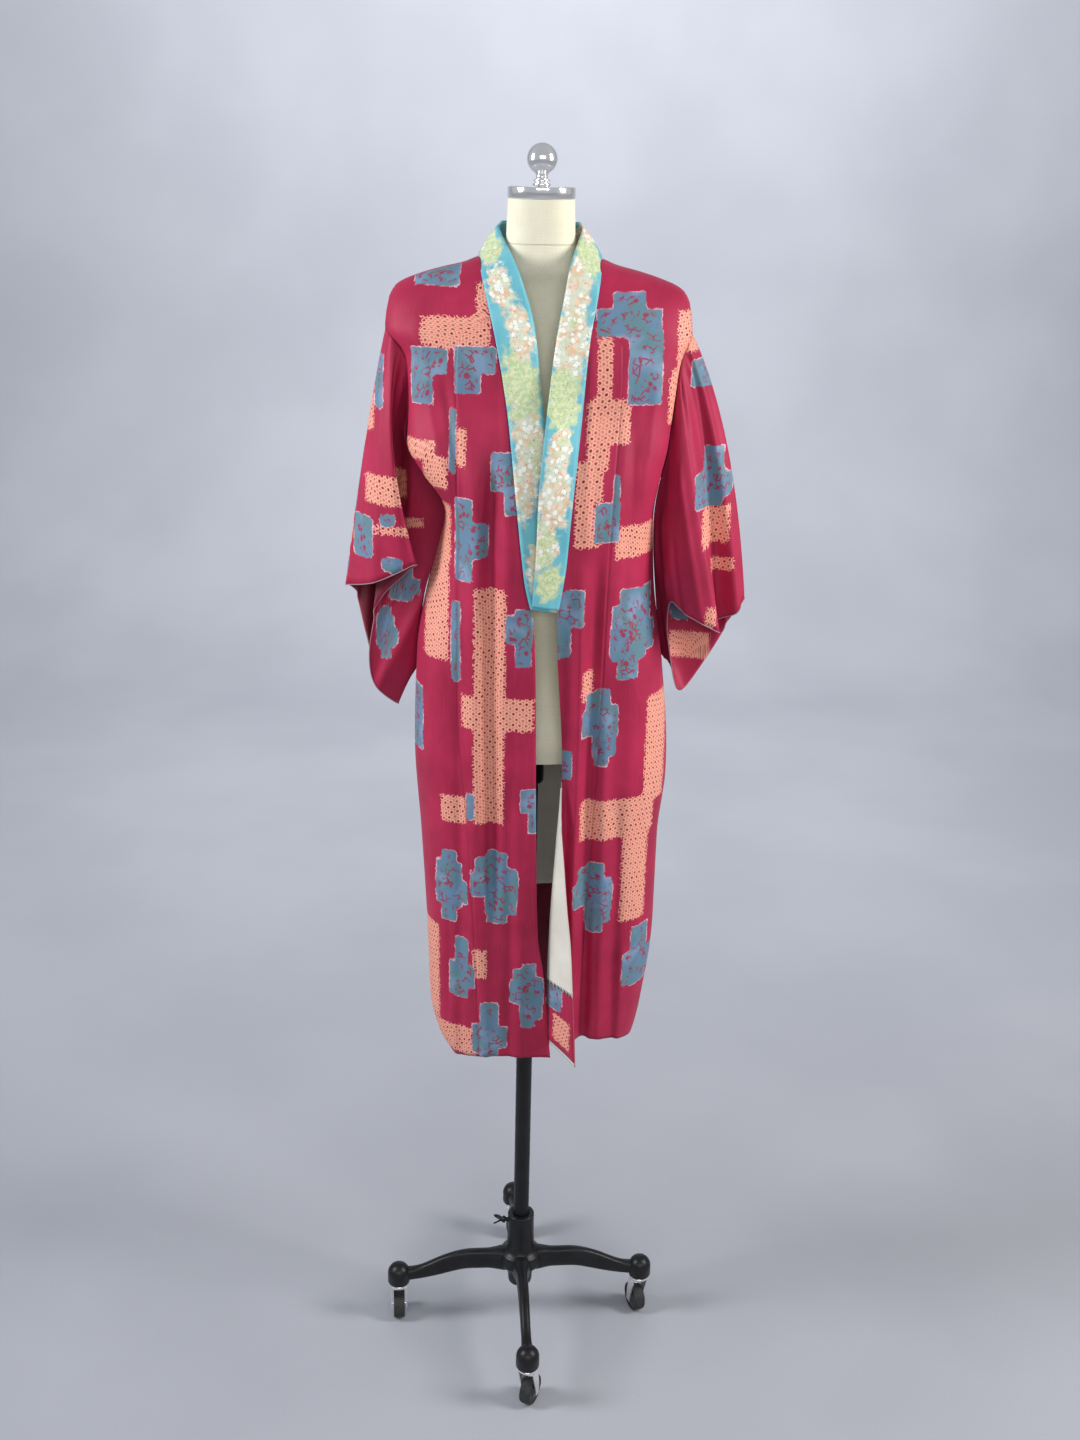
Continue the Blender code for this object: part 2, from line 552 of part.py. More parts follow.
class Builder:
    """Keeps the collections, the materials and the axis empty."""

    def __init__(self):
        for old in list(bpy.data.objects):
            bpy.data.objects.remove(old, do_unlink=True)
        self.parts = bpy.data.collections.new(OBJECT_NAME)
        self.cutters = bpy.data.collections.new("cutters")
        bpy.context.scene.collection.children.link(self.parts)
        bpy.context.scene.collection.children.link(self.cutters)
        self.axis = bpy.data.objects.new("axis", None)
        self.axis.location = (AXIS_X, 0, 0)
        self.parts.objects.link(self.axis)
        self.silk = material("silk", (0.50, 0.035, 0.085), 0.55)
        self.band = material("collar_silk", (0.12, 0.43, 0.52), 0.55)
        self.lining = material("lining", (0.78, 0.74, 0.66), 0.6)
        self.linen = material("linen", (0.80, 0.78, 0.60), 0.8)
        self.chrome = material("chrome", (0.80, 0.80, 0.80), 0.08, 1.0)
        self.iron = material("black_iron", (0.012, 0.012, 0.014), 0.32, 0.5)
        self.tyre = material("tyre", (0.02, 0.02, 0.02), 0.5)

    def add(self, name, data, finish, location=(0, 0, 0), turn=0.0):
        """Link a mesh as a named part that hangs from the axis empty."""
        thing = bpy.data.objects.new(name, data)
        self.parts.objects.link(thing)
        thing.parent = self.axis
        thing.location = location
        thing.rotation_euler = (0, 0, turn)
        if not data.materials:
            data.materials.append(finish)
        return thing

    def helper(self, data, matrix=Matrix()):
        """Link a mesh as a hidden guide or cutter."""
        thing = bpy.data.objects.new("helper", data)
        self.cutters.objects.link(thing)
        thing.matrix_world = matrix
        thing.hide_render = True
        thing.display_type = "WIRE"
        return thing

    def bake(self, thing, name):
        """The evaluated mesh of a helper, which is then removed."""
        bpy.context.view_layer.update()
        graph = bpy.context.evaluated_depsgraph_get()
        data = bpy.data.meshes.new_from_object(thing.evaluated_get(graph))
        data.name = name
        bpy.data.objects.remove(thing, do_unlink=True)
        return data

    def combine(self, name, base, others, operation):
        """Join or cut a mesh with others, one EXACT Boolean each."""
        body = self.helper(base)
        tools = [self.helper(data, matrix) for data, matrix in others]
        for tool in tools:
            step = body.modifiers.new(operation.lower(), "BOOLEAN")
            step.operation = operation
            step.object = tool
        data = self.bake(body, name)
        for tool in tools:
            bpy.data.objects.remove(tool, do_unlink=True)
        return data


def grids_mesh(name, grids, closed=False, flip=False):
    """Sheets of quads as one mesh, welded where their points coincide."""
    bm = bmesh.new()
    for columns in grids:
        corners = [[bm.verts.new(point) for point in column] for column in columns]
        count = len(columns)
        for i in range(count if closed else count - 1):
            here, there = corners[i], corners[(i + 1) % count]
            for j in range(len(here) - 1):
                loop = [here[j], there[j], there[j + 1], here[j + 1]]
                bm.faces.new(loop[::-1] if flip else loop)
    bmesh.ops.remove_doubles(bm, verts=bm.verts, dist=SAME_POINT)
    data = bpy.data.meshes.new(name)
    bm.to_mesh(data)
    bm.free()
    data.shade_smooth()
    return data


def sheet(build, name, data, finish, thickness):
    """A cloth wall: a surface thickened to its inner side."""
    thing = build.add(name, data, finish)
    wall = thing.modifiers.new("wall", "SOLIDIFY")
    wall.thickness = thickness
    wall.offset = -1


def turned(build, name, profile, segments, closed):
    """A turned piece about Z from (radius, z) points, through a Screw."""
    bm = bmesh.new()
    points = [bm.verts.new((radius, 0, z)) for radius, z in profile]
    for a, b in zip(points, points[1:]):
        bm.edges.new((a, b))
    if closed:
        bm.edges.new((points[-1], points[0]))
    data = bpy.data.meshes.new(name)
    bm.to_mesh(data)
    bm.free()
    helper = build.helper(data)
    screw = helper.modifiers.new("turn", "SCREW")
    screw.steps = screw.render_steps = segments
    screw.use_merge_vertices = True
    screw.merge_threshold = SAME_POINT
    done = build.bake(helper, name)
    done.shade_smooth()
    done.set_sharp_from_angle(angle=math.radians(40))
    return done


def cylinder(name, radius, low, high, segments=ROUND_SEGMENTS):
    """A closed cylinder about Z between two heights."""
    bm = bmesh.new()
    middle = Matrix.Translation((0, 0, (low + high) / 2))
    bmesh.ops.create_cone(bm, cap_ends=True, segments=segments, radius1=radius,
                          radius2=radius, depth=high - low, matrix=middle)
    data = bpy.data.meshes.new(name)
    bm.to_mesh(data)
    bm.free()
    return data


def box(name, low, high):
    """A box between two corners."""
    bm = bmesh.new()
    size = [b - a for a, b in zip(low, high)]
    middle = [(a + b) / 2 for a, b in zip(low, high)]
    bmesh.ops.create_cube(bm, size=1.0, matrix=Matrix.LocRotScale(middle, None, size))
    data = bpy.data.meshes.new(name)
    bm.to_mesh(data)
    bm.free()
    return data


# ---------------------------------------------------------------- robe
def panel_sides(table, hem, seam, edge, sign):
    """Front and back columns of a body panel, side edge first."""
    def front_inner(z):
        if z < KENSAKI_Z:
            return smooth(seam, "x", z) + sign * SEAM
        return smooth(edge, "x", z) + sign * NECK_SEAM

    def back_inner(z):
        return sign * (NECK_HALF + NECK_SEAM)

    front = panel_columns(table, hem, "front", front_inner)
    back = panel_columns(table, hem, "back", back_inner)
    back += neck_columns(table, hem, back[-1], sign)
    return front, back


def body_panel(build, name, sides, sign):
    """One body panel: up the front, over the shoulder and down the back."""
    front, back = sides
    down_back = [column[::-1] for column in back]
    for column, over in zip(front, down_back):
        over[0] = column[-1]
    data = grids_mesh(name, [front, down_back], flip=sign > 0)
    sheet(build, name, data, build.silk, CLOTH)


def overlap_panels(build):
    """The two front overlap panels, the left one with its turned edge lined."""
    right = overlap_columns(RIGHT_BODY, RIGHT_HEM, RIGHT_SEAM, RIGHT_EDGE, -1,
                            (0.0, 0.22, 0.44, 0.62, 0.8, 1.0))
    sheet(build, "overlap_right", grids_mesh("overlap_right", [right]), build.silk, CLOTH)
    left = overlap_columns(LEFT_BODY, LEFT_HEM, LEFT_SEAM, LEFT_EDGE, 1,
                           (0.0, 0.25, 0.5, 0.70) + FLAP_SHARES)
    flap = flap_columns(left[-3:])
    data = grids_mesh("overlap_left", [left[:-3] + flap], flip=True)
    sheet(build, "overlap_left", data, build.silk, CLOTH)
    line_sheet(build, "flap", flap[::-1], FACING_FRONT_ROW, LINING_FRONT_ROW)


def line_sheet(build, name, columns, facing_row, lining_row):
    """Hem facing and lining against the inner side of a sheet's own points."""
    inside = moved_in(columns, CLOTH + LIFT)
    facing = [column[:facing_row + 1] for column in inside]
    for column in facing:
        column[0] = column[0].lerp(column[1], TRIM)
        column[-1] = column[-1].lerp(column[-2], TRIM)
    lining = [column[facing_row:lining_row + 1] for column in inside]
    sheet(build, "facing_" + name, grids_mesh("facing", [facing]), build.silk, LINING)
    sheet(build, "lining_" + name, grids_mesh("lining", [lining]), build.lining, LINING)


def sleeve(build, name, lines, sides, sign):
    """A sleeve: a tube of cloth through its lines, open at both ends."""
    armhole = {"front": sides[0][0], "back": sides[1][0]}
    columns = []
    for line in lines:
        middle = Vector((line.mx, line.my, line.mz))
        cuff = Vector((line.cx, line.cy, line.cz))
        start = Vector((line.ax, line.ay, line.az))
        if line.join == "top":
            start = Vector((sign * (SHOULDER[-1].x + ARM_SEAM), 0, line.az))
        elif line.join:
            start = min(armhole[line.join], key=lambda point: abs(point.z - line.az)).copy()
            start.x += sign * ARM_SEAM
        column = []
        for step in range(SLEEVE_STEPS + 1):
            t = step / SLEEVE_STEPS
            first = (1 - t) * (1 - 2 * t)
            column.append(start * first + middle * 4 * t * (1 - t) + cuff * t * (2 * t - 1))
        columns.append(column)
    data = grids_mesh(name, [columns], closed=True, flip=sign < 0)
    sheet(build, name, data, build.silk, CLOTH)


def band_columns():
    """The collar band: stations of seam, middle and inner edge points."""
    stations = []
    for table, edge, rows in ((RIGHT_BODY, RIGHT_EDGE, RIGHT_BAND),
                              (LEFT_BODY, LEFT_EDGE, LEFT_BAND)):
        side = []
        for row in rows:
            seam = cloth_point(table, "front", smooth(edge, "x", row.seam_z), row.seam_z)
            side.append((seam, Vector((row.x, row.y, row.z))))
        stations.append(side)
    nape = []
    for row in NAPE:
        angle = math.radians(row.degrees)
        inner = Vector((-row.radius_x * math.cos(angle), row.radius_y * math.sin(angle), row.z))
        nape.append((back_neck_point(row.degrees), inner))
    path = stations[0] + nape + stations[1][::-1]
    starts = [(seam + (inner - seam).normalized() * BAND_START, inner) for seam, inner in path]
    return [[start, start.lerp(inner, 0.5), inner] for start, inner in starts]


def robe(build):
    """Every cut piece of the kimono."""
    right = panel_sides(RIGHT_BODY, RIGHT_HEM, RIGHT_SEAM, RIGHT_EDGE, -1)
    left = panel_sides(LEFT_BODY, LEFT_HEM, LEFT_SEAM, LEFT_EDGE, 1)
    body_panel(build, "body_right", right, -1)
    body_panel(build, "body_left", left, 1)
    overlap_panels(build)
    sleeve(build, "sleeve_right", RIGHT_SLEEVE, right, -1)
    sleeve(build, "sleeve_left", LEFT_SLEEVE, left, 1)
    data = grids_mesh("collar", [band_columns()])
    sheet(build, "collar", data, build.band, BAND)
    kept = LINING_STEPS + NECK_STEPS
    middle = [column for column in left[1][-kept:-1]]
    across = middle + [left[1][-1]] + right[1][-kept:-1][::-1]
    line_sheet(build, "back", across, FACING_BACK_ROW, LINING_BACK_ROW)


# ---------------------------------------------------------------- form
def dress_form(build):
    """The limbless form with its neck cap, finial and pole socket."""
    rings = []
    for ring in FORM:
        points = []
        for step in range(FORM_SEGMENTS):
            angle = 2 * math.pi * step / FORM_SEGMENTS
            c, s = math.cos(angle), math.sin(angle)
            depth = ring.back if s > 0 else ring.front
            points.append(Vector((ring.half * math.copysign(abs(c) ** (2 / FORM_ROUND), c),
                                  depth * math.copysign(abs(s) ** (2 / FORM_ROUND), s),
                                  ring.z)))
        rings.append(points)
    bm = bmesh.new()
    loops = [[bm.verts.new(point) for point in points] for points in rings]
    for low, high in zip(loops, loops[1:]):
        for i in range(FORM_SEGMENTS):
            k = (i + 1) % FORM_SEGMENTS
            bm.faces.new((low[i], low[k], high[k], high[i]))
    bm.faces.new(loops[0][::-1])
    bm.faces.new(loops[-1])
    data = bpy.data.meshes.new("form_torso")
    bm.to_mesh(data)
    bm.free()
    data.shade_smooth()
    data.set_sharp_from_angle(angle=math.radians(50))
    build.add("form_torso", data, build.linen)

    low, high = NECK_TOP_Z + GAP, CAP_TOP_Z
    cap = [(0, high), (CAP_R - CAP_CHAMFER, high), (CAP_R, high - CAP_CHAMFER), (CAP_R, low),
           (0, low)]
    build.add("neck_cap", turned(build, "neck_cap", cap, FORM_SEGMENTS, False), build.chrome)

    foot = CAP_TOP_Z + GAP
    neck = math.sqrt(BALL_R ** 2 - FINIAL_STEM_R ** 2)
    finial = [(BALL_R * math.sin(math.radians(a)), BALL_Z + BALL_R * math.cos(math.radians(a)))
              for a in range(0, BALL_END, ARC_STEP)]
    finial += [(FINIAL_STEM_R, BALL_Z - neck), (FINIAL_WAIST_R, BALL_Z - neck - FINIAL_WAIST_DROP),
               (FINIAL_STEM_R, foot + FINIAL_FOOT), (FINIAL_STEM_R, foot), (0, foot)]
    build.add("finial", turned(build, "finial", finial, ROUND_SEGMENTS, False), build.chrome)

    bore = POLE_R + POLE_CLEARANCE
    top = FORM_BASE_Z - GAP
    under = top - SOCKET_FLANGE
    ring = [(SOCKET_FLANGE_R, top), (SOCKET_FLANGE_R, under), (SOCKET_R, under - SOCKET_TAPER),
            (SOCKET_R, SOCKET_FOOT_Z), (bore, SOCKET_FOOT_Z), (bore, top)]
    build.add("pole_socket", turned(build, "pole_socket", ring, ROUND_SEGMENTS, True),
              build.iron)


# ---------------------------------------------------------------- stand
def leg_mesh(build):
    """One leg along +X: level from the hub, then curving down to its cup."""
    upper, lower = [], []
    for step in range(LEG_STEPS + 1):
        r = LEG_START_R + (CASTER_RING_R - LEG_START_R) * step / LEG_STEPS
        drop = ramp((r - LEG_LEVEL_R) / (CASTER_RING_R - LEG_LEVEL_R - LEG_LEVEL_END))
        middle = LEG_Z - LEG_FALL * drop
        half = LEG_HALF_HEIGHT - LEG_THINNING * drop
        upper.append((r, middle + half))
        lower.append((r, middle - half))
    curve = bpy.data.curves.new("leg", "CURVE")
    curve.dimensions = "2D"
    curve.fill_mode = "BOTH"
    curve.extrude = LEG_HALF_WIDTH
    outline = upper + lower[::-1]
    line = curve.splines.new("POLY")
    line.points.add(len(outline) - 1)
    for point, (r, z) in zip(line.points, outline):
        point.co = (r, z, 0, 1)
    line.use_cyclic_u = True
    blank = build.bake(build.helper(curve), "leg")
    bm = bmesh.new()
    bm.from_mesh(blank)
    bmesh.ops.remove_doubles(bm, verts=bm.verts, dist=SAME_POINT)
    bmesh.ops.recalc_face_normals(bm, faces=bm.faces)
    bmesh.ops.dissolve_limit(bm, angle_limit=FLAT_ANGLE, verts=bm.verts, edges=bm.edges)
    bmesh.ops.rotate(bm, verts=bm.verts, matrix=Matrix.Rotation(math.pi / 2, 3, "X"))
    long_edges = [e for e in bm.edges if abs(e.verts[0].co.y - e.verts[1].co.y) < 1e-5
                  and len(e.link_faces) == 2 and e.calc_face_angle(0) > math.radians(60)]
    bmesh.ops.bevel(bm, geom=long_edges, offset=LEG_BEVEL, segments=1, affect="EDGES")
    bm.to_mesh(blank)
    bm.free()
    hub = cylinder("hub_cut", HUB_FLARE_R + GAP, CUT_LOW_Z, CUT_HIGH_Z, CUT_SEGMENTS)
    cup = cylinder("cup_cut", CUP_R + GAP, CUT_LOW_Z, CUT_HIGH_Z, CUT_SEGMENTS)
    return build.combine("leg", blank, [(hub, Matrix()),
                                        (cup, Matrix.Translation((CASTER_RING_R, 0, 0)))],
                         "DIFFERENCE")


def base(build):
    """Hub, pole, thumbscrew and the four legs with their caster cups."""
    bore = POLE_R + POLE_CLEARANCE
    profile = HUB + [(bore, HUB_FOOT_Z), (bore, HUB_TOP_Z)]
    body = turned(build, "hub", profile, ROUND_SEGMENTS, True)
    sideways = (Matrix.Translation((-SCREW_HOLE_X, 0, SCREW_Z))
                @ Matrix.Rotation(math.pi / 2, 4, "Y"))
    hole = cylinder("hole", SCREW_HOLE_R, -SCREW_HOLE_HALF, SCREW_HOLE_HALF, SMALL_SEGMENTS)
    build.add("hub", build.combine("hub", body, [(hole, sideways)], "DIFFERENCE"), build.iron)

    build.add("pole", cylinder("pole", POLE_R, POLE_FOOT_Z, POLE_HEAD_Z), build.iron)

    shaft = cylinder("thumbscrew", SCREW_R, SCREW_START, SCREW_END, SMALL_SEGMENTS)
    wing = bmesh.new()
    bmesh.ops.create_uvsphere(wing, u_segments=SMALL_SEGMENTS, v_segments=8, radius=1.0,
                              matrix=Matrix.LocRotScale((0, 0, WING_OUT), None, WING_SIZE))
    wing_data = bpy.data.meshes.new("wing")
    wing.to_mesh(wing_data)
    wing.free()
    screw = build.combine("thumbscrew", shaft, [(wing_data, Matrix())], "UNION")
    thing = build.add("thumbscrew", screw, build.iron, (0, 0, SCREW_Z))
    thing.rotation_euler = (0, -math.pi / 2, 0)

    leg = leg_mesh(build)
    dome = [(CUP_R * math.sin(math.radians(a)),
             CUP_FOOT_Z + CUP_SIDE + CUP_R * math.cos(math.radians(a)))
            for a in range(0, 91, ARC_STEP)]
    hole_r = STEM_R + TURN_CLEARANCE
    cup_profile = dome + [(CUP_R, CUP_FOOT_Z + CUP_LIP), (CUP_R - CUP_LIP, CUP_FOOT_Z),
                          (hole_r, CUP_FOOT_Z), (hole_r, CUP_FOOT_Z + CUP_BORE),
                          (0, CUP_FOOT_Z + CUP_BORE)]
    cup = turned(build, "cup", cup_profile, ROUND_SEGMENTS, False)
    for caster in CASTERS:
        angle = math.radians(caster.degrees) + BASE_TURN
        spot = (CASTER_RING_R * math.cos(angle), CASTER_RING_R * math.sin(angle), 0)
        build.add("leg_" + caster.name, leg, build.iron, (0, 0, 0), angle)
        build.add("cup_" + caster.name, cup, build.iron, spot, angle)


def fork_mesh(build):
    """A caster's swivelling fork: stem, plate, two arms and the axle."""
    top = CUP_FOOT_Z - GAP
    profile = [(0, top + STEM_LENGTH), (STEM_R, top + STEM_LENGTH), (STEM_R, top)]
    profile += [(turn.r, top + turn.z) for turn in FORK_DISH]
    collar = turned(build, "fork", profile, ROUND_SEGMENTS, False)
    plate = box("plate", (-PLATE_BACK, -FORK_HALF, top - PLATE_FOOT),
                (PLATE_FRONT, FORK_HALF, top - PLATE_TOP))
    axle = cylinder("axle", AXLE_R, -FORK_HALF - AXLE_END, FORK_HALF + AXLE_END, SMALL_SEGMENTS)
    lying = Matrix.Translation((TRAIL, 0, WHEEL_Z)) @ Matrix.Rotation(math.pi / 2, 4, "X")
    pieces = [(plate, Matrix()), (axle, lying)]
    height = top - ARM_TOP - WHEEL_Z + ARM_BELOW_AXLE
    for sign in (-1, 1):
        arm = box("arm", (-ARM_HALF_WIDTH, -ARM_HALF_WALL, 0),
                  (ARM_HALF_WIDTH, ARM_HALF_WALL, height))
        lean = Matrix.Shear("XY", 4, (-TRAIL * ARM_LEAN / height, 0))
        place = Matrix.Translation((TRAIL, sign * (FORK_HALF - ARM_INSET),
                                    WHEEL_Z - ARM_BELOW_AXLE))
        pieces.append((arm, place @ lean))
    return build.combine("fork", collar, pieces, "UNION")


def wheel_mesh(build):
    """A caster wheel about its own axis, lying along Y, a flat side down."""
    half = WHEEL_HALF
    tread, edge_r, bore = half * WHEEL_TREAD, WHEEL_R - WHEEL_CHAMFER, AXLE_R + TURN_CLEARANCE
    profile = [(WHEEL_R, tread), (WHEEL_R, -tread), (edge_r, -half), (bore, -half), (bore, half),
               (edge_r, half)]
    data = turned(build, "wheel", profile, WHEEL_SEGMENTS, True)
    half_step = Matrix.Rotation(math.pi / WHEEL_SEGMENTS, 4, "Z")
    data.transform(Matrix.Rotation(math.pi / 2, 4, "X") @ half_step)
    return data


def casters(build):
    """Four swivelling casters, each a fork and a wheel that trails it."""
    fork, wheel = fork_mesh(build), wheel_mesh(build)
    for caster in CASTERS:
        angle = math.radians(caster.degrees) + BASE_TURN
        trail = math.radians(caster.trail_degrees)
        x, y = CASTER_RING_R * math.cos(angle), CASTER_RING_R * math.sin(angle)
        build.add("fork_" + caster.name, fork, build.chrome, (x, y, 0), trail)
        spot = (x + TRAIL * math.cos(trail), y + TRAIL * math.sin(trail), WHEEL_Z)
        build.add("wheel_" + caster.name, wheel, build.tyre, spot, trail)


def main():
    """Build every part."""
    build = Builder()
    robe(build)
    dress_form(build)
    base(build)
    casters(build)
    for data in list(bpy.data.meshes):
        if not data.users:
            bpy.data.meshes.remove(data)


main()
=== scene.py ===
"""Looks for the silk kimono worn open on a dress form stand.

Metres, +Z up, the front towards -Y. The cloth repeats the section tables of
the CAD source at a finer step, with the smaller creases added, and every hard
piece is rebuilt round the place that its CAD node gives.
"""

import math
from collections import namedtuple

import bmesh
import bpy
import numpy as np
from mathutils import Matrix, Vector, noise


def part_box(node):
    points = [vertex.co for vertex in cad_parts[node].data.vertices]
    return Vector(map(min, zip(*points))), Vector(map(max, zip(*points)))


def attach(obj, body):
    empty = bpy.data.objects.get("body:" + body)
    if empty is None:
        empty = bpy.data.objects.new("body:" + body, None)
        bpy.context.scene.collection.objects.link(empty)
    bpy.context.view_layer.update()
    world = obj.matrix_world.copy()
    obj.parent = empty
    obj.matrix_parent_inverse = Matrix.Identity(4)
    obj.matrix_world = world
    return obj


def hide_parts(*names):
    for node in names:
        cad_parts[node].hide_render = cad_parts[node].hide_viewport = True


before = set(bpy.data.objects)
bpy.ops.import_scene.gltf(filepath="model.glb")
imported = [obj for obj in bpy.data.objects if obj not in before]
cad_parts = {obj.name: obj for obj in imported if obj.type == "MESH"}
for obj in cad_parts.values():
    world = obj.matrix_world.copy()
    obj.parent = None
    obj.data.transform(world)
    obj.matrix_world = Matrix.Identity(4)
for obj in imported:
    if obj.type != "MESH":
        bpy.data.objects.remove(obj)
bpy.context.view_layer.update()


def middle(node):
    """The middle of a CAD node's box."""
    low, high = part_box(node)
    return [(a + b) / 2 for a, b in zip(low, high)]


AXIS_X = middle("pole")[0]

# ---------------------------------------------------------------- sizes
SILK = 0.0012             # wall of the silk shown
BAND = 0.0024
INSIDE = 0.0008           # wall of lining and facing
CLEAR = 0.0024            # from the outer face of the silk to its lining
BODY_X = 0.010
ROUND = 2.3
YOKE_Z = 1.62
YOKE_ROUND = 2.2
KENSAKI_Z = 1.735
FLAP_TOP_Z = 1.10
FLAP_EASE = 0.10
FOLD_NOSE = 0.002
NECK_HALF = 0.083
NECK_BACK = 0.072
FACING_FRONT_Z = 0.735
FACING_BACK_Z = 0.795
LINING_TOP_Z = 1.335
FOLD_FADE = 0.15
NECK_TOP_Z = 1.884
NECK_SEAM_Z = 1.826
FORM_ROUND = 2.2
COLLAR_LOW_Z = 1.345
COLLAR_HIGH_Z = 1.785

ROWS = 170                # points up a panel
SIDE_COLUMNS = 36         # points across a body panel
OVERLAP_COLUMNS = 22
DOT_PITCH = 0.0096        # spacing of the tie-dyed dots
WELD = 0.00004            # cloth points this close are one
FAR = 0.05                # stands for "nowhere near" in the distances of the design
SEAM_FADE = 0.006         # added to the seam's distance above the yoke
UNEVEN = 0.0016           # height of the slow unevenness
SLEEVE_STEPS = 46         # points along a sleeve
SLEEVE_SPANS = 9          # points from one line round a sleeve to the next
SLEEVE_LAP = 0.0006       # a sleeve's joined lines start this far outside the body
SLEEVE_FREE = 0.0010      # and its free lines this far
SLEEVE_FADE = 0.15
SLEEVE_EASE = 0.12
FLAP_STEPS = 9
FLAP_BOW = 0.0025
COLLAR_STEPS = 15         # stations down each front of the collar
NAPE_STEPS = 13
COLLAR_SPANS = 7
COLLAR_COLUMNS = 11
COLLAR_WAVE = 0.0008
COLLAR_BULGE = 0.0016
PIPING_R = 0.0008

# ---------------------------------------------------------------- tables
Section = namedtuple("Section", "z front_x front_edge_y front_y back_x back_edge_y back_y")
EdgePoint = namedtuple("EdgePoint", "z x")
ShoulderPoint = namedtuple("ShoulderPoint", "x z")
Hem = namedtuple("Hem", "front side back")
FlapPoint = namedtuple("FlapPoint", "z x y")
Fold = namedtuple("Fold", "face x_top z_top x_low z_low width height")
Line = namedtuple("Line", "name join ax ay az mx my mz cx cy cz")
Band = namedtuple("Band", "seam_z x y z")
Nape = namedtuple("Nape", "degrees radius_x radius_y z")
Ring = namedtuple("Ring", "z half front back")
Caster = namedtuple("Caster", "name degrees trail_degrees")
MM = 1000                 # parts of a metre, for tables in millimetres


def named(kind, values, parts=1):
    """A table with a named row for each tuple, in metres or parts of one."""
    return [kind(*(v if isinstance(v, str) else v / parts for v in value)) for value in values]


BODY = {
    "right": named(Section, [
        (540, -108, 0, -83, -108, 0, 98),
        (600, -142, 0, -88, -142, 0, 104),
        (660, -155, 2, -92, -155, 2, 110),
        (800, -160, 4, -102, -160, 4, 118),
        (950, -168, 4, -112, -168, 4, 120),
        (1100, -177, 2, -122, -177, 2, 119),
        (1250, -172, 0, -130, -172, 0, 114),
        (1340, -157, 0, -136, -157, 0, 111),
        (1400, -141, -10, -140, -141, 10, 110),
        (1465, -127, -40, -141, -134, 30, 112),
        (1520, -160, -52, -135, -158, 42, 116),
        (1560, -181, -52, -126, -176, 48, 118),
        (1620, -178, -50, -110, -180, 48, 116),
        (1680, -181, -48, -110, -186, 48, 116),
        (1712, -213, -48, -110, -213, 48, 116),
    ], MM),
    "left": named(Section, [
        (540, 150, 4, -70, 150, 4, 98),
        (600, 177, 6, -75, 177, 6, 104),
        (660, 188, 8, -80, 188, 8, 110),
        (800, 201, 8, -92, 201, 8, 118),
        (950, 201, 6, -104, 201, 6, 120),
        (1060, 209, 4, -113, 209, 4, 119),
        (1250, 192, 0, -127, 192, 0, 114),
        (1340, 178, 0, -135, 178, 0, 111),
        (1400, 173, -10, -140, 172, 10, 110),
        (1465, 169, -36, -142, 168, 30, 112),
        (1520, 176, -50, -136, 174, 42, 116),
        (1560, 184, -50, -127, 180, 48, 118),
        (1620, 190, -50, -110, 188, 48, 116),
        (1680, 197, -48, -110, 196, 48, 116),
        (1712, 213, -48, -110, 213, 48, 116),
    ], MM),
}
SEAM = {
    "right": named(EdgePoint, [
        (0.54, -0.070), (0.78, -0.079), (0.95, -0.089), (1.20, -0.106), (1.49, -0.107), (1.66, -0.110),
        (1.70, -0.108), (KENSAKI_Z, -0.069),
    ]),
    "left": named(EdgePoint, [
        (0.54, 0.085), (0.80, 0.090), (1.00, 0.096), (1.20, 0.101), (1.46, 0.106), (1.66, 0.114),
        (1.70, 0.113), (KENSAKI_Z, 0.079),
    ]),
}
EDGE = {
    "right": named(EdgePoint, [
        (0.54, 0.046), (0.61, 0.040), (0.75, 0.027), (0.81, 0.018), (1.02, 0.011), (1.21, 0.007),
        (1.32, 0.002), (1.37, -0.010), (1.49, -0.025), (1.61, -0.039), (1.71, -0.058), (1.78, -0.076),
        (1.81, -NECK_HALF),
    ]),
    "left": named(EdgePoint, [
        (0.54, 0.036), (0.73, 0.035), (0.84, 0.037), (0.97, 0.043), (1.08, 0.048), (1.33, 0.035),
        (1.40, 0.044), (1.48, 0.050), (1.60, 0.060), (1.71, 0.070), (1.77, 0.080), (1.81, NECK_HALF),
    ]),
}
SHOULDER = named(ShoulderPoint, [
    (0, 1816), (60, 1813), (83, 1808), (107, 1799), (136, 1792), (169, 1782), (196, 1770), (206, 1757),
    (211, 1735), (213, 1712),
], MM)
HEM = {"right": Hem(0.588, 0.556, 0.548), "left": Hem(0.615, 0.594, 0.572)}
SIGN = {"right": -1, "left": 1}
FLAP = named(FlapPoint, [
    (540, 83.5, -162), (607, 80.5, -155), (697, 76, -142), (810, 69, -132), (872, 62, -127),
    (950, 55, -122), (1020, 49, -119),
], MM)
FOLDS = named(Fold, [
    ("front", -61, 1580, -56, 900, 11, -13),
    ("front", -84, 1600, -80, 800, 13, 6),
    ("front", -140, 1360, -128, 580, 18, 5),
    ("front", 68, 1420, 73, 560, 9, 10),
    ("front", 86, 1460, 92, 600, 11, -10),
    ("front", 150, 1400, 160, 560, 20, 6),
    ("back", -115, 1400, -110, 520, 20, 7),
    ("back", -60, 1550, -50, 520, 24, -7),
    ("back", 70, 1500, 62, 520, 22, 6),
    ("back", 128, 1420, 135, 520, 20, -6),
], MM)
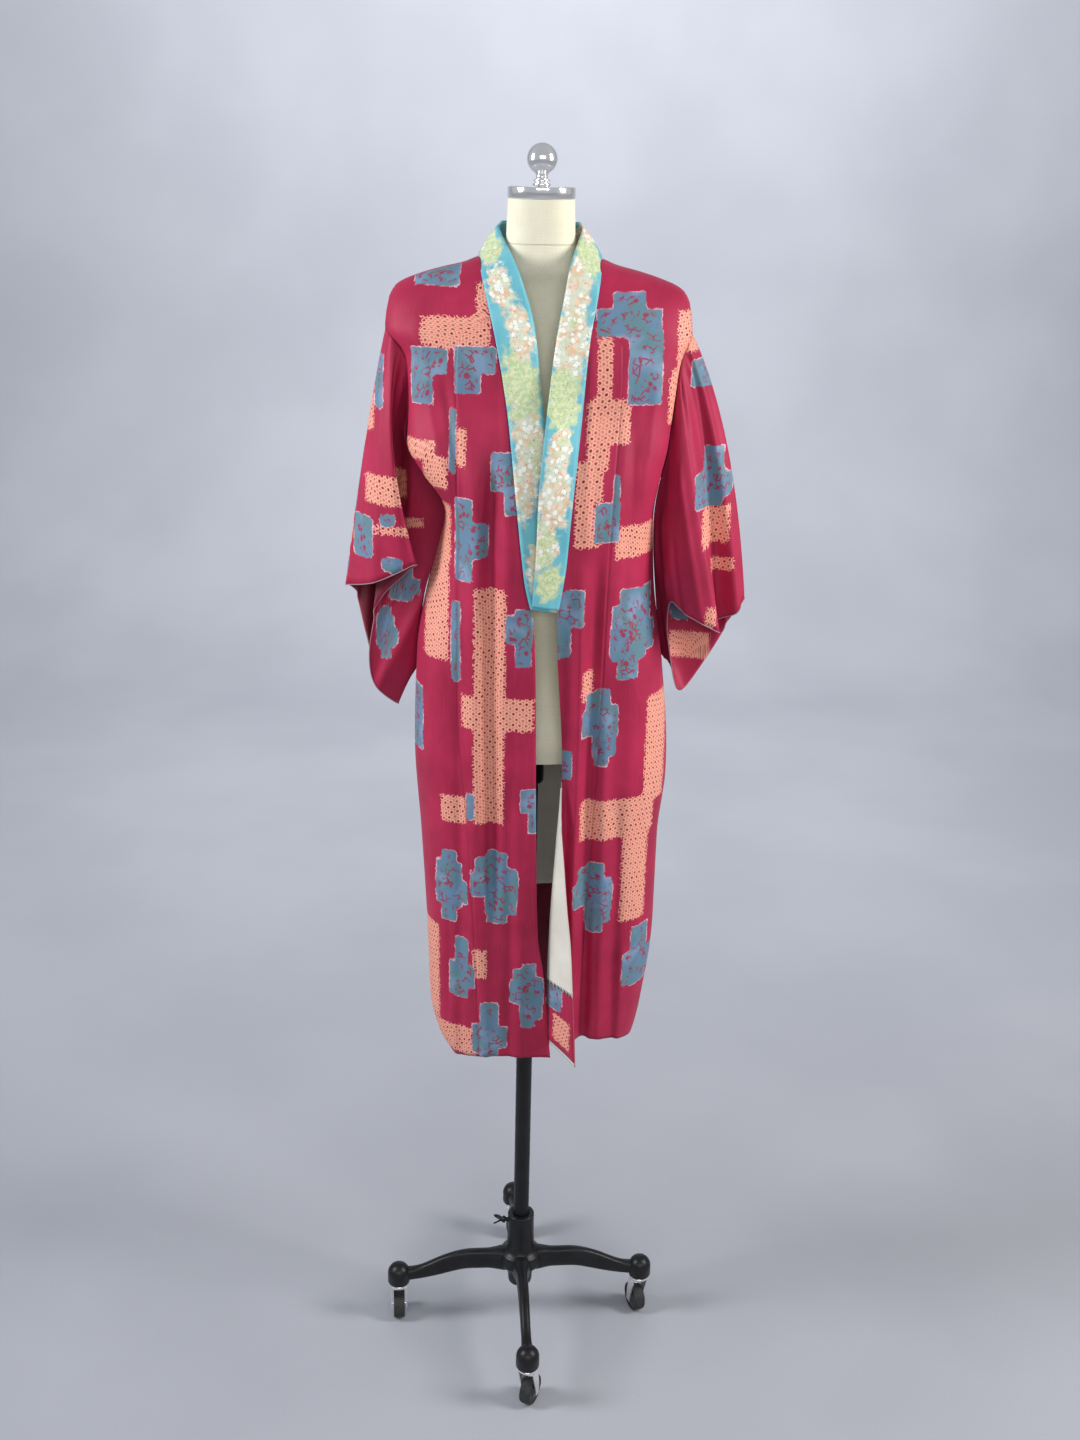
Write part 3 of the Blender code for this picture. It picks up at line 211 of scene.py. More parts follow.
SLEEVE = {
    "right": named(Line, [
        ("top", "top", 0, 0, 1712, -241, -12, 1563, -273, -20, 1342),
        ("swell", "front", 0, 0, 1704, -222, -52, 1562, -228, -58, 1357),
        ("ridge", "front", 0, 0, 1694, -198, -74, 1556, -168, -74, 1388),
        ("turn", "front", 0, 0, 1672, -206, -44, 1540, -186, -46, 1368),
        ("valley", "front", 0, 0, 1643, -208, -6, 1520, -224, -18, 1322),
        ("leaf", "front", 0, 0, 1600, -198, -6, 1470, -236, -14, 1282),
        ("underarm", "front", 0, 0, 1555, -184, -14, 1420, -243, -14, 1236),
        ("free", "", -137, -18, 1460, -178, -14, 1342, -240, -12, 1196),
        ("low", "", -166, -14, 1330, -189, -14, 1250, -226, -10, 1172),
        ("bottom", "", -181, 6, 1205, -189, 4, 1181, -201, 0, 1152),
        ("back_low", "", -175, 38, 1300, -200, 34, 1260, -231, -1, 1192),
        ("back_mid", "", -152, 52, 1450, -208, 56, 1400, -248, 0, 1258),
        ("back_arm", "back", 0, 0, 1570, -226, 50, 1485, -264, 16, 1318),
        ("back_top", "back", 0, 0, 1665, -236, 26, 1545, -273, 0, 1337),
        ("back_swell", "back", 0, 0, 1690, -238, 15, 1552, -273, -6, 1339),
        ("back_crown", "back", 0, 0, 1709, -241, 1, 1560, -273, -13, 1341),
    ], MM),
    "left": named(Line, [
        ("top", "top", 0, 0, 1712, 271, -14, 1555, 309, -20, 1333),
        ("strip", "front", 0, 0, 1702, 256, -32, 1550, 297, -36, 1316),
        ("valley", "front", 0, 0, 1690, 237, -26, 1540, 268, -20, 1300),
        ("ridge", "front", 0, 0, 1670, 223, -64, 1530, 271, -74, 1298),
        ("face", "front", 0, 0, 1635, 209, -73, 1500, 246, -81, 1311),
        ("face_in", "front", 0, 0, 1600, 197, -68, 1460, 216, -76, 1326),
        ("underarm", "front", 0, 0, 1555, 187, -56, 1420, 198, -60, 1338),
        ("free", "", 175, -34, 1460, 186, -30, 1380, 198, -34, 1290),
        ("low", "", 184, -6, 1340, 197, -8, 1275, 213, -16, 1204),
        ("bottom", "", 202, 14, 1235, 213, 8, 1212, 228, -2, 1186),
        ("back_low", "", 190, 46, 1370, 226, 40, 1330, 262, 6, 1235),
        ("back_mid", "", 184, 52, 1480, 243, 46, 1430, 285, 10, 1276),
        ("back_arm", "back", 0, 0, 1580, 258, 34, 1500, 298, 2, 1308),
        ("back_top", "back", 0, 0, 1665, 266, 14, 1540, 307, -6, 1326),
        ("back_swell", "back", 0, 0, 1705, 270, 0, 1549, 309, -14, 1330),
    ], MM),
}
BAND_EDGE = {
    "right": named(Band, [
        (1345, 37, -129, 1338), (1420, 31, -130, 1418), (1500, 23, -129, 1500), (1580, 14, -120, 1582),
        (1650, 4, -104, 1655), (1710, -4, -88, 1714), (1755, -15, -74, 1757), (1785, -31, -62, 1800),
    ], MM),
    "left": named(Band, [
        (1345, -1, -147, 1352), (1420, 3, -148, 1424), (1500, 5, -148, 1503), (1580, 11, -140, 1583),
        (1650, 18, -112, 1655), (1710, 26, -90, 1714), (1755, 34, -74, 1760), (1785, 41, -62, 1803),
    ], MM),
}
NAPE = named(Nape, [
    (0, 0.0555, 0.0, 1.842), (30, 0.0590, 0.0620, 1.852), (60, 0.0600, 0.0640, 1.848),
    (90, 0.0600, 0.0640, 1.844), (120, 0.0600, 0.0640, 1.848), (150, 0.0590, 0.0620, 1.852),
    (180, 0.0555, 0.0, 1.842),
])
FORM = named(Ring, [
    (1.090, 0.126, 0.084, 0.098), (1.130, 0.138, 0.094, 0.104), (1.190, 0.130, 0.088, 0.096),
    (1.260, 0.110, 0.080, 0.080), (1.330, 0.108, 0.090, 0.082), (1.400, 0.112, 0.105, 0.088),
    (1.480, 0.119, 0.122, 0.095), (1.550, 0.132, 0.108, 0.100), (1.620, 0.152, 0.086, 0.098),
    (1.680, 0.167, 0.070, 0.088), (1.730, 0.178, 0.055, 0.068), (1.758, 0.172, 0.040, 0.050),
    (1.774, 0.150, 0.036, 0.046), (1.786, 0.118, 0.040, 0.048), (1.797, 0.077, 0.043, 0.050),
    (1.812, 0.053, 0.0455, 0.0485), (1.835, 0.0475, 0.0455, 0.047), (1.860, 0.0465, 0.046, 0.047),
    (NECK_TOP_Z, 0.0455, 0.0455, 0.0455),
])
CASTERS = named(Caster, [
    ("left", 0.0, 112.0), ("rear", 90.0, 8.0), ("right", 180.0, 96.0), ("front", 270.0, 66.0),
])

# Smaller creases: ends of each line, its half width and its height (+ out).
CREASES = {
    "right": named(Fold, [
        ("front", -129, 1660, -100, 1500, 7, -4),
        ("front", -152, 1630, -118, 1500, 6, 3.5),
        ("front", -104, 1300, -101, 600, 8, -3.5),
        ("front", -150, 1300, -150, 800, 8, 3),
        ("front", -12, 1240, -8, 600, 9, 3.5),
        ("front", -30, 1100, -24, 620, 7, -3),
        ("front", -44, 1660, -36, 1400, 7, 2),
        ("front", -70, 950, -62, 590, 7, 3.5),
        ("front", -118, 1460, -108, 1280, 5, 2.5),
        ("front", -165, 1740, -150, 1640, 8, 3),
        ("front", -120, 860, -124, 570, 6, -3),
        ("back", -150, 1660, -120, 1420, 9, 4),
        ("back", -135, 1580, -100, 1300, 8, -3.5),
        ("back", -30, 1400, -25, 600, 10, 4),
        ("back", -90, 1250, -85, 560, 9, -3.5),
        ("back", -135, 1050, -128, 570, 8, 3.5),
        ("back", -75, 1760, -60, 1600, 10, 2),
    ], MM),
    "left": named(Fold, [
        ("front", 163, 1680, 148, 1360, 7, 4),
        ("front", 121, 1720, 117, 1440, 9, 3),
        ("front", 136, 1600, 128, 1340, 7, -3),
        ("front", 178, 1520, 152, 1400, 7, -3.5),
        ("front", 52, 1300, 54, 660, 6, -2.5),
        ("front", 110, 1220, 118, 620, 8, 3.5),
        ("front", 133, 1060, 140, 620, 7, -4),
        ("front", 178, 1120, 172, 620, 8, 4),
        ("front", 100, 860, 104, 610, 5, 3),
        ("front", 150, 800, 150, 600, 6, 3.5),
        ("front", 74, 1720, 72, 1460, 6, 2),
        ("back", 150, 1660, 120, 1400, 9, 4),
        ("back", 170, 1500, 140, 1280, 8, -3.5),
        ("back", 28, 1450, 22, 600, 10, 4),
        ("back", 95, 1200, 92, 580, 9, -3.5),
        ("back", 165, 1100, 160, 600, 8, 4),
        ("back", 80, 1750, 68, 1580, 10, 2),
    ], MM),
}

# The figured design. A bar is a plain block of tie-dyed rings; a leaf is a
# plain block of blue; a flower is a stepped cross of blue. Places are in the
# plane of the face that they lie on.
Motif = namedtuple("Motif", "kind x z wide tall")
MOTIFS = {
    "right front": named(Motif, [
        ("bar", -112, 1713, 94, 42), ("bar", -76, 1752, 15, 50), ("leaf", -147, 1676, 50, 34),
        ("leaf", -157, 1644, 30, 52), ("leaf", -84, 1680, 56, 34), ("leaf", -94, 1660, 34, 50),
        ("leaf", -139, 1787, 62, 30), ("bar", -164, 1556, 50, 28), ("bar", -138, 1528, 34, 46),
        ("bar", -102, 1564, 13, 50), ("leaf", -114, 1572, 8, 86), ("leaf", -42, 1534, 36, 52),
        ("leaf", -30, 1500, 22, 44), ("leaf", -98, 1436, 24, 118), ("leaf", -86, 1438, 44, 50),
        ("bar", -130, 1440, 24, 80), ("bar", -138, 1330, 36, 150), ("leaf", -109, 1285, 13, 120),
        ("bar", -60, 1186, 44, 366), ("bar", -48, 1182, 104, 50), ("leaf", -18, 1312, 38, 42),
        ("leaf", -12, 1300, 22, 86), ("bar", -112, 1020, 38, 44), ("leaf", -87, 1030, 11, 44),
        ("leaf", 0, 1046, 24, 38), ("leaf", 6, 1022, 12, 60), ("leaf", -172, 1150, 24, 100),
        ("flower", -116, 886, 50, 124), ("flower", -50, 894, 72, 122), ("flower", -100, 742, 40, 112),
        ("bar", -72, 758, 21, 52), ("flower", 2, 704, 52, 118), ("flower", -56, 634, 56, 106),
        ("bar", -152, 720, 30, 176), ("bar", -112, 604, 70, 56),
    ], MM),
    "left front": named(Motif, [
        ("leaf", 122, 1752, 44, 34), ("leaf", 122, 1731, 88, 34), ("leaf", 146, 1672, 46, 94),
        ("bar", 91, 1665, 18, 100), ("bar", 84, 1585, 30, 86), ("bar", 74, 1492, 36, 116),
        ("bar", 100, 1603, 54, 58), ("bar", 200, 1690, 20, 110), ("bar", 190, 1630, 18, 70),
        ("leaf", 100, 1468, 34, 54), ("leaf", 112, 1494, 8, 80), ("bar", 141, 1437, 56, 46),
        ("flower", 143, 1300, 64, 134), ("leaf", 151, 1336, 34, 60), ("leaf", 57, 1346, 30, 54),
        ("leaf", 43, 1316, 22, 90), ("flower", 101, 1160, 52, 122), ("bar", 81, 1226, 15, 46),
        ("leaf", 50, 1102, 22, 46), ("bar", 186, 1112, 30, 170), ("bar", 132, 1008, 110, 66),
        ("bar", 162, 902, 38, 150), ("flower", 100, 874, 60, 122), ("flower", 176, 756, 52, 112),
        ("bar", 66, 644, 10, 22),
    ], MM),
    "back": named(Motif, [
        ("bar", -90, 1690, 110, 44), ("bar", -150, 1640, 30, 150), ("leaf", 80, 1700, 90, 40),
        ("leaf", 105, 1650, 44, 90), ("flower", -60, 1560, 70, 124), ("bar", 50, 1540, 36, 170),
        ("bar", 92, 1500, 100, 46), ("flower", 145, 1380, 60, 120), ("bar", -110, 1400, 100, 48),
        ("leaf", -30, 1420, 34, 90), ("flower", 40, 1300, 74, 130), ("flower", -130, 1250, 56, 124),
        ("bar", -45, 1160, 44, 300), ("bar", -85, 1150, 120, 52), ("bar", 120, 1130, 110, 50),
        ("bar", 160, 1060, 34, 190), ("flower", 60, 1010, 64, 120), ("leaf", -150, 1040, 40, 80),
        ("flower", -100, 890, 70, 126), ("flower", 20, 850, 54, 120), ("bar", 110, 860, 44, 160),
        ("flower", 160, 780, 50, 110), ("bar", -40, 730, 100, 48), ("flower", -130, 700, 60, 120),
        ("flower", 70, 680, 66, 116), ("bar", -30, 620, 40, 120),
    ], MM),
    "right sleeve": named(Motif, [
        ("bar", -214, 1492, 56, 40), ("leaf", -208, 1450, 22, 18), ("bar", -196, 1436, 70, 13),
        ("leaf", -202, 1386, 30, 20), ("leaf", -221, 1640, 14, 70), ("flower", -190, 1345, 46, 58),
        ("flower", -216, 1268, 32, 80), ("bar", -245, 1600, 30, 60), ("leaf", -246, 1420, 30, 60),
    ], MM),
    "left sleeve": named(Motif, [
        ("bar", 212, 1712, 24, 44), ("leaf", 230, 1660, 34, 36), ("flower", 252, 1515, 58, 88),
        ("bar", 258, 1448, 42, 56), ("bar", 272, 1388, 34, 18), ("bar", 255, 1320, 14, 30),
        ("bar", 230, 1272, 44, 48), ("leaf", 206, 1186, 10, 14),
    ], MM),
    "sleeve back": named(Motif, [
        ("bar", 235, 1600, 34, 120), ("flower", 255, 1500, 60, 100), ("bar", 230, 1420, 90, 34),
        ("flower", 225, 1330, 56, 90), ("leaf", 285, 1380, 30, 50), ("bar", 235, 1250, 60, 36),
    ], MM),
    "flap": named(Motif, [
        ("leaf", 46, 716, 22, 60), ("bar", 58, 656, 24, 46),
    ], MM),
    "none": [],
}

# Printed clusters on the collar band: place along it from the right end,
# place across it from the seam, half lengths, and how green it is (0 to 1).
Cluster = namedtuple("Cluster", "along across long wide green")
CLUSTERS = named(Cluster, [
    (0.020, 0.040, 0.022, 0.012, 0.2), (0.055, 0.020, 0.035, 0.014, 0.1),
    (0.110, 0.040, 0.040, 0.010, 0.9), (0.170, 0.012, 0.040, 0.013, 0.2),
    (0.230, 0.026, 0.060, 0.020, 0.3), (0.310, 0.024, 0.050, 0.024, 0.6),
    (0.380, 0.034, 0.040, 0.016, 0.2), (0.445, 0.020, 0.026, 0.016, 0.3),
    (0.520, 0.020, 0.040, 0.016, 0.5), (0.610, 0.020, 0.040, 0.016, 0.2),
    (0.700, 0.016, 0.020, 0.014, 0.4), (0.740, 0.034, 0.035, 0.016, 0.1),
    (0.800, 0.022, 0.040, 0.020, 0.7), (0.860, 0.030, 0.050, 0.018, 0.0),
    (0.930, 0.026, 0.055, 0.024, 0.3), (1.000, 0.030, 0.050, 0.022, 0.8),
    (1.075, 0.028, 0.045, 0.015, 0.3), (1.140, 0.026, 0.040, 0.020, 0.1),
    (1.200, 0.034, 0.036, 0.018, 0.4), (1.252, 0.022, 0.026, 0.016, 0.7),
])


# ---------------------------------------------------------------- numbers
def read(table, column, at):
    """Read one column of a table at many keys, with no overshoot between rows."""
    keys = np.array([row[0] for row in table], float)
    values = np.array([getattr(row, column) for row in table], float)
    slopes = np.diff(values) / np.diff(keys)
    before, after = slopes[:-1], slopes[1:]
    same = before * after > 0
    inner = np.where(same, 2 * before * after / np.where(same, before + after, 1), 0)
    tangents = np.concatenate([slopes[:1], inner, slopes[-1:]])
    at = np.clip(at, keys[0], keys[-1])
    k = np.clip(np.searchsorted(keys, at, side="right") - 1, 0, len(keys) - 2)
    span = keys[k + 1] - keys[k]
    t = (at - keys[k]) / span
    rise = t * t * (3 - 2 * t)
    value = values[k] * (1 - rise) + values[k + 1] * rise
    return value + span * t * (1 - t) * (tangents[k] * (1 - t) - tangents[k + 1] * t)


def ramp(t):
    """Ease from 0 to 1."""
    t = np.clip(t, 0, 1)
    return t * t * (3 - 2 * t)


def shoulder_z(x):
    """Height of the shoulder line at x."""
    return read(SHOULDER, "z", np.abs(x))


def ridges(folds, face, x, z):
    """How far a list of folds pushes the cloth out."""
    total = np.zeros(np.broadcast(x, z).shape)
    for number, fold in enumerate(folds):
        if fold.face != face:
            continue
        along = (fold.z_top - z) / (fold.z_top - fold.z_low)
        line = fold.x_top + (fold.x_low - fold.x_top) * np.clip(along, 0, 1)
        line = line + 0.12 * fold.width * np.sin(9 * along + 1.7 * number)
        fade = ramp(along / FOLD_FADE) * ramp((1 + FOLD_FADE - along) / FOLD_FADE)
        total = total + fold.height * fade * np.exp(-((x - line) / fold.width) ** 2)
    return total


def undulation(x, z, seed):
    """Slow unevenness of hanging cloth, in metres."""
    flat_x, flat_z = np.broadcast_arrays(x, z)
    values = [noise.noise((a * 22, b * 5, seed)) + 0.4 * noise.noise((a * 55, b * 14, seed + 9))
              for a, b in zip(flat_x.ravel(), flat_z.ravel())]
    return np.array(values).reshape(flat_x.shape) * UNEVEN


def cloth_y(side, face, x, z):
    """Depth of the front or back surface at x and z."""
    table = BODY[side]
    level = np.minimum(z, table[-1].z)
    out = -1.0 if face == "front" else 1.0
    edge = read(table, face + "_edge_y", level)
    far = read(table, face + "_y", level)
    reach = read(table, face + "_x", level)
    across = np.clip(np.abs((x - BODY_X) / (reach - BODY_X)), 0, 1)
    y = edge + (far - edge) * (1 - across ** ROUND) ** (1 / ROUND)
    lift = ridges(FOLDS, face, x, z) + ridges(CREASES[side], face, x, z)
    lift = lift + undulation(x, z, 3.0 if face == "front" else 7.0)
    y = y + out * lift * (1 - across ** 6)
    rise = np.clip((z - YOKE_Z) / (shoulder_z(x) - YOKE_Z), 0, 1)
    return y * (1 - rise ** YOKE_ROUND) ** (1 / YOKE_ROUND)


def stack(x, y, z):
    """Points from three arrays that broadcast together."""
    return np.stack(np.broadcast_arrays(x, y, z), axis=-1)


def block_distance(x, z, middle_x, middle_z, wide, tall):
    """Signed distance to a rectangle."""
    dx, dz = np.abs(x - middle_x) - wide / 2, np.abs(z - middle_z) - tall / 2
    outside = np.hypot(np.maximum(dx, 0), np.maximum(dz, 0))
    return outside + np.minimum(np.maximum(dx, dz), 0)


# Blocks of a stepped flower as shares of its width and height.
Block = namedtuple("Block", "wide tall dx dz")
FLOWERS = [
    named(Block, [(0.46, 1.00, -0.08, 0.0), (1.00, 0.30, 0.0, -0.06), (0.78, 0.62, -0.08, 0.02)]),
    named(Block, [(0.40, 1.00, 0.06, 0.0), (1.00, 0.34, 0.0, 0.05), (0.66, 0.66, 0.14, -0.04),
                 (0.60, 0.30, -0.10, 0.28)]),
    named(Block, [(0.50, 0.98, 0.0, 0.01), (0.98, 0.38, 0.01, -0.10), (0.72, 0.50, -0.12, -0.20)]),
]


def design(motifs, x, z):
    """Signed distances to the blue and to the tie-dyed parts of the design."""
    blue = np.full(x.shape, FAR)
    dyed = np.full(x.shape, FAR)
    for number, motif in enumerate(motifs):
        if motif.kind == "flower":
            for block in FLOWERS[number % len(FLOWERS)]:
                here = block_distance(x, z, motif.x + block.dx * motif.wide,
                                      motif.z + block.dz * motif.tall,
                                      motif.wide * block.wide, motif.tall * block.tall)
                blue = np.minimum(blue, here)
        elif motif.kind == "leaf":
            blue = np.minimum(blue, block_distance(x, z, motif.x, motif.z, motif.wide, motif.tall))
        else:
            dyed = np.minimum(dyed, block_distance(x, z, motif.x, motif.z, motif.wide, motif.tall))
    return blue, np.maximum(dyed, -blue + 0.001)


def arc_lengths(points, axis):
    """Running length along one axis of a grid of points."""
    steps = np.linalg.norm(np.diff(points, axis=axis), axis=-1)
    pad = [(0, 0), (0, 0)]
    pad[axis] = (1, 0)
    return np.pad(np.cumsum(steps, axis=axis), pad)


def panel_shares():
    """Shares of the way up a panel, closer together where it turns over."""
    t = np.linspace(0, 1, ROWS)
    late = np.clip((t - 0.9) / 0.1, 0, 1)
    return np.where(t < 0.9, t, 0.9 + 0.1 * (1 - (1 - late) ** 2))


def link(name, data):
    """A new object in the scene."""
    thing = bpy.data.objects.new(name, data)
    bpy.context.scene.collection.objects.link(thing)
    return thing


# ---------------------------------------------------------------- cloth meshes
class Patch:
    """A grid of cloth points with what its material reads."""

    def __init__(self, points, motifs="none", seam=None, flip=False, closed=False):
        self.points = points
        self.flip = flip
        self.closed = closed
        self.blue, self.dyed = design(MOTIFS[motifs], points[..., 0], points[..., 2])
        self.seam = np.full(points.shape[:2], FAR) if seam is None else seam
        self.u = arc_lengths(points, 0) + points[:1, :, 0]
        self.v = arc_lengths(points, 1)


def cloth(name, patches, thickness, finish, inner=None, replaces=()):
    """A thin shell through patches, welded where their points meet."""
    points, faces, corner_values = [], [], {"blue": [], "dyed": [], "seam": [], "u": [], "v": []}
    for patch in patches:
        columns, high = patch.points.shape[:2]
        base = len(points)
        points.extend(patch.points.reshape(-1, 3))
        i, j = np.meshgrid(np.arange(columns if patch.closed else columns - 1),
                           np.arange(high - 1), indexing="ij")
        k = (i + 1) % columns
        quad = np.stack([i * high + j, k * high + j, k * high + j + 1, i * high + j + 1], -1)
        quad = quad.reshape(-1, 4)
        if patch.flip:
            quad = quad[:, ::-1]
        faces.append(quad + base)
        for key in corner_values:
            corner_values[key].append(getattr(patch, key).ravel()[quad.ravel()])
    points = np.array(points)
    faces = np.concatenate(faces)
    _, first, same = np.unique(np.round(points / WELD).astype(int), axis=0,
                               return_index=True, return_inverse=True)
    welded = same.ravel()[faces]
    data = bpy.data.meshes.new(name)
    polygons, corners = [], []
    for f in range(len(welded)):
        if len(set(welded[f])) < 3:
            continue
        ring = []
        for corner in range(4):
            if welded[f][corner] not in ring:
                ring.append(welded[f][corner])
                corners.append(4 * f + corner)
        polygons.append([int(v) for v in ring])
    data.from_pydata((points[first] + (AXIS_X, 0, 0)).tolist(), [], polygons)
    uv = data.uv_layers.new(name="cloth")
    columns = {key: np.concatenate(value)[corners] for key, value in corner_values.items()}
    uv.data.foreach_set("uv", np.stack([columns["u"], columns["v"]], -1).astype(np.float32).ravel())
    for key in ("blue", "dyed", "seam"):
        layer = data.attributes.new(key, "FLOAT", "CORNER")
        layer.data.foreach_set("value", columns[key].astype(np.float32))
    data.shade_smooth()
    data.materials.append(finish)
    data.materials.append(inner or finish)
    thing = link(name, data)
    wall = thing.modifiers.new("wall", "SOLIDIFY")
    wall.thickness = thickness
    wall.offset = -1
    wall.material_offset = 1
    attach(thing, "form")
    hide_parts(*replaces)
    return thing


def inner_line(side, z):
    """x of a front body panel's inner edge: the overlap seam, then the neckline."""
    return np.where(z < KENSAKI_Z, read(SEAM[side], "x", z), read(EDGE[side], "x", z))


def seam_distance(side, points):
    """Distance from the overlap seam, larger where the yoke has no seam."""
    gap = np.abs(points[..., 0] - inner_line(side, points[..., 2]))
    return gap + SEAM_FADE * ramp((points[..., 2] - YOKE_Z) / 0.06)


def hem_z(side, face, across):
    """Hem height: the side seam is at across 1, the middle of a face at 0."""
    hem = HEM[side]
    centre = hem.front if face == "front" else hem.back
    return hem.side + (centre - hem.side) * (1 - np.clip(across, 0, 1) ** 3)


def reach_x(side, face, z):
    """Where the side edge of a face lies at a height."""
    table = BODY[side]
    return read(table, face + "_x", np.minimum(z, table[-1].z))


def panel_grid(side, face):
    """Points of a body panel's front or back, side edge first."""
    lean = np.sin(np.pi / 2 * np.linspace(0, 1, SIDE_COLUMNS)) ** 1.3
    shares = panel_shares()

    def line_x(z):
        reach = reach_x(side, face, z) - BODY_X
        inner = inner_line(side, z) if face == "front" else SIGN[side] * NECK_HALF
        return BODY_X + reach + (inner - BODY_X - reach) * lean[:, None]

    low_z = np.full((1, 1), HEM[side].side)
    foot_reach = reach_x(side, face, low_z) - BODY_X
    foot = hem_z(side, face, np.abs((line_x(low_z) - BODY_X) / foot_reach))
    head = shoulder_z(line_x(np.full((1, 1), shoulder_z(NECK_HALF))))
    z = foot + shares[None, :] * (head - foot)
    x = line_x(z)
    return stack(x, cloth_y(side, face, x, z), z)


def back_neck_points(degrees):
    """Points of the back neckline, from the wearer's right (0) to the left."""
    angle = np.radians(degrees)
    x, y = -NECK_HALF * np.cos(angle), NECK_BACK * np.sin(angle)
    low, high = np.full(x.shape, YOKE_Z), shoulder_z(x)
    for _ in range(24):
        z = (low + high) / 2
        outside = cloth_y("right", "back", x, z) > y
        low, high = np.where(outside, z, low), np.where(outside, high, z)
    return stack(x, y, high)


def neck_grid(side, outer):
    """Points of the back from the neck point's column to the centre back."""
    share = np.linspace(0, 1, 16)
    degrees = 90 * share if side == "right" else 180 - 90 * share
    top = back_neck_points(degrees)
    foot_x = outer[0, 0] + (BODY_X - outer[0, 0]) * share
    foot_z = outer[0, 2] + (HEM[side].back - outer[0, 2]) * share
    shares = panel_shares()[None, :]
    x = foot_x[:, None] + (top[:, 0] - foot_x)[:, None] * shares
    z = foot_z[:, None] + (top[:, 2] - foot_z)[:, None] * shares
    own = cloth_y(side, "back", x, z)
    shared = (cloth_y("right", "back", x, z) + cloth_y("left", "back", x, z)) / 2
    points = stack(x, own + (shared - own) * ramp(share)[:, None], z)
    points[:, -1] = top
    points[0] = outer
    points[-1, :, 0] = np.where(shares[0] < 0.999, points[-1, :, 0], 0)
    return points


def body(side, silk, lining):
    """One body panel with its front, its back and the half of the back neck."""
    front = panel_grid(side, "front")
    back = panel_grid(side, "back")
    back[:, -1] = front[:, -1]
    neck = neck_grid(side, back[-1])
    centre = np.abs(neck[..., 0] - neck[-1:, :, 0])
    flip = side == "left"
    patches = [
        Patch(front, side + " front", seam_distance(side, front), flip),
        Patch(back[:, ::-1], "back", None, flip),
        Patch(neck[:, ::-1], "back", centre[:, ::-1], flip),
    ]
    piece = cloth("silk_body_" + side, patches, SILK, silk, lining, ["body_" + side])
    return np.concatenate([back, neck[1:]])


def overlap_grid(side):
    """Points of a front overlap panel from its seam to the front edge."""
    share = np.linspace(0, 1, OVERLAP_COLUMNS)[:, None]

    def line_x(z):
        outer = inner_line(side, z)
        return outer + (read(EDGE[side], "x", z) - outer) * share

    low_z = np.full((1, 1), HEM[side].side)
    reach = reach_x(side, "front", low_z) - BODY_X
    foot = hem_z(side, "front", np.abs((line_x(low_z) - BODY_X) / reach))
    z = foot + np.linspace(0, 1, ROWS)[None, :] * (KENSAKI_Z - 0.001 - foot)
    x = line_x(z)
    return stack(x, cloth_y(side, "front", x, z), z)


def flap_grid(fold_line):
    """The left front's turned edge, from its fold out to its free edge."""
    z = fold_line[:, 2]
    free = stack(read(FLAP, "x", z), read(FLAP, "y", z), z)
    turned = ramp((FLAP_TOP_Z - z) / FLAP_EASE)[:, None]
    columns = []
    for share in np.linspace(0, 1, FLAP_STEPS):
        out = fold_line + (free - fold_line) * share
        out = out + np.array([0, -FOLD_NOSE * (1 - share), 0])
        bow = math.sin(math.pi * share) * FLAP_BOW
        out = out + np.array([bow, -bow, 0])
        plain = fold_line + np.array([-0.0003 * share, 0, 0])
        columns.append(plain + (out - plain) * turned)
    return np.array(columns)


def moved_in(points, distance):
    """A grid of points moved along its normals to its inner side."""
    normal = np.cross(np.gradient(points, axis=0), np.gradient(points, axis=1))
    normal /= np.linalg.norm(normal, axis=-1, keepdims=True)
    return points - normal * distance


def overlaps(silk, lining, facing):
    """The two front overlap panels and what lines the turned edge."""
    right = overlap_grid("right")
    shown = Patch(right, "right front", seam_distance("right", right))
    piece = cloth("silk_overlap_right", [shown], SILK, silk, lining, ["overlap_right"])

    left = overlap_grid("left")
    flap = flap_grid(left[-1])
    shown = [Patch(left, "left front", seam_distance("left", left), flip=True),
             Patch(flap, flip=True)]
    piece = cloth("silk_overlap_left", shown, SILK, silk, lining, ["overlap_left"])

    heights = flap[0, :, 2]
    inside = moved_in(flap[::-1], CLEAR - 0.0008)
    low, high = heights < FACING_FRONT_Z, (heights >= FACING_FRONT_Z - 0.008) & (heights < 1.07)
    low[0] = False
    piece = cloth("flap_facing", [Patch(inside[:, low], "flap")], INSIDE, facing, None,
                  ["facing_flap"])
    piece = cloth("flap_lining", [Patch(inside[:, high])], INSIDE, lining, None, ["lining_flap"])


def back_linings(right_back, left_back, lining, facing):
    """Lining and hem facing inside the back, where the open front shows them."""
    across = np.concatenate([left_back[10:], right_back[10:-1][::-1]])
    inside = moved_in(across, CLEAR)
    heights = inside[len(inside) // 2, :, 2]
    low = heights < FACING_BACK_Z
    low[:2] = False
    high = (heights >= FACING_BACK_Z - 0.008) & (heights < LINING_TOP_Z)
    for name, part, finish, node, flat in (
            ("back_hem_facing", low, facing, "facing_back", (0.26, 0.25)),
            ("back_lining", high, lining, "lining_back", (0.30, 0.56))):
        piece = cloth(name, [Patch(inside[:, part])], INSIDE, finish, None, [node])


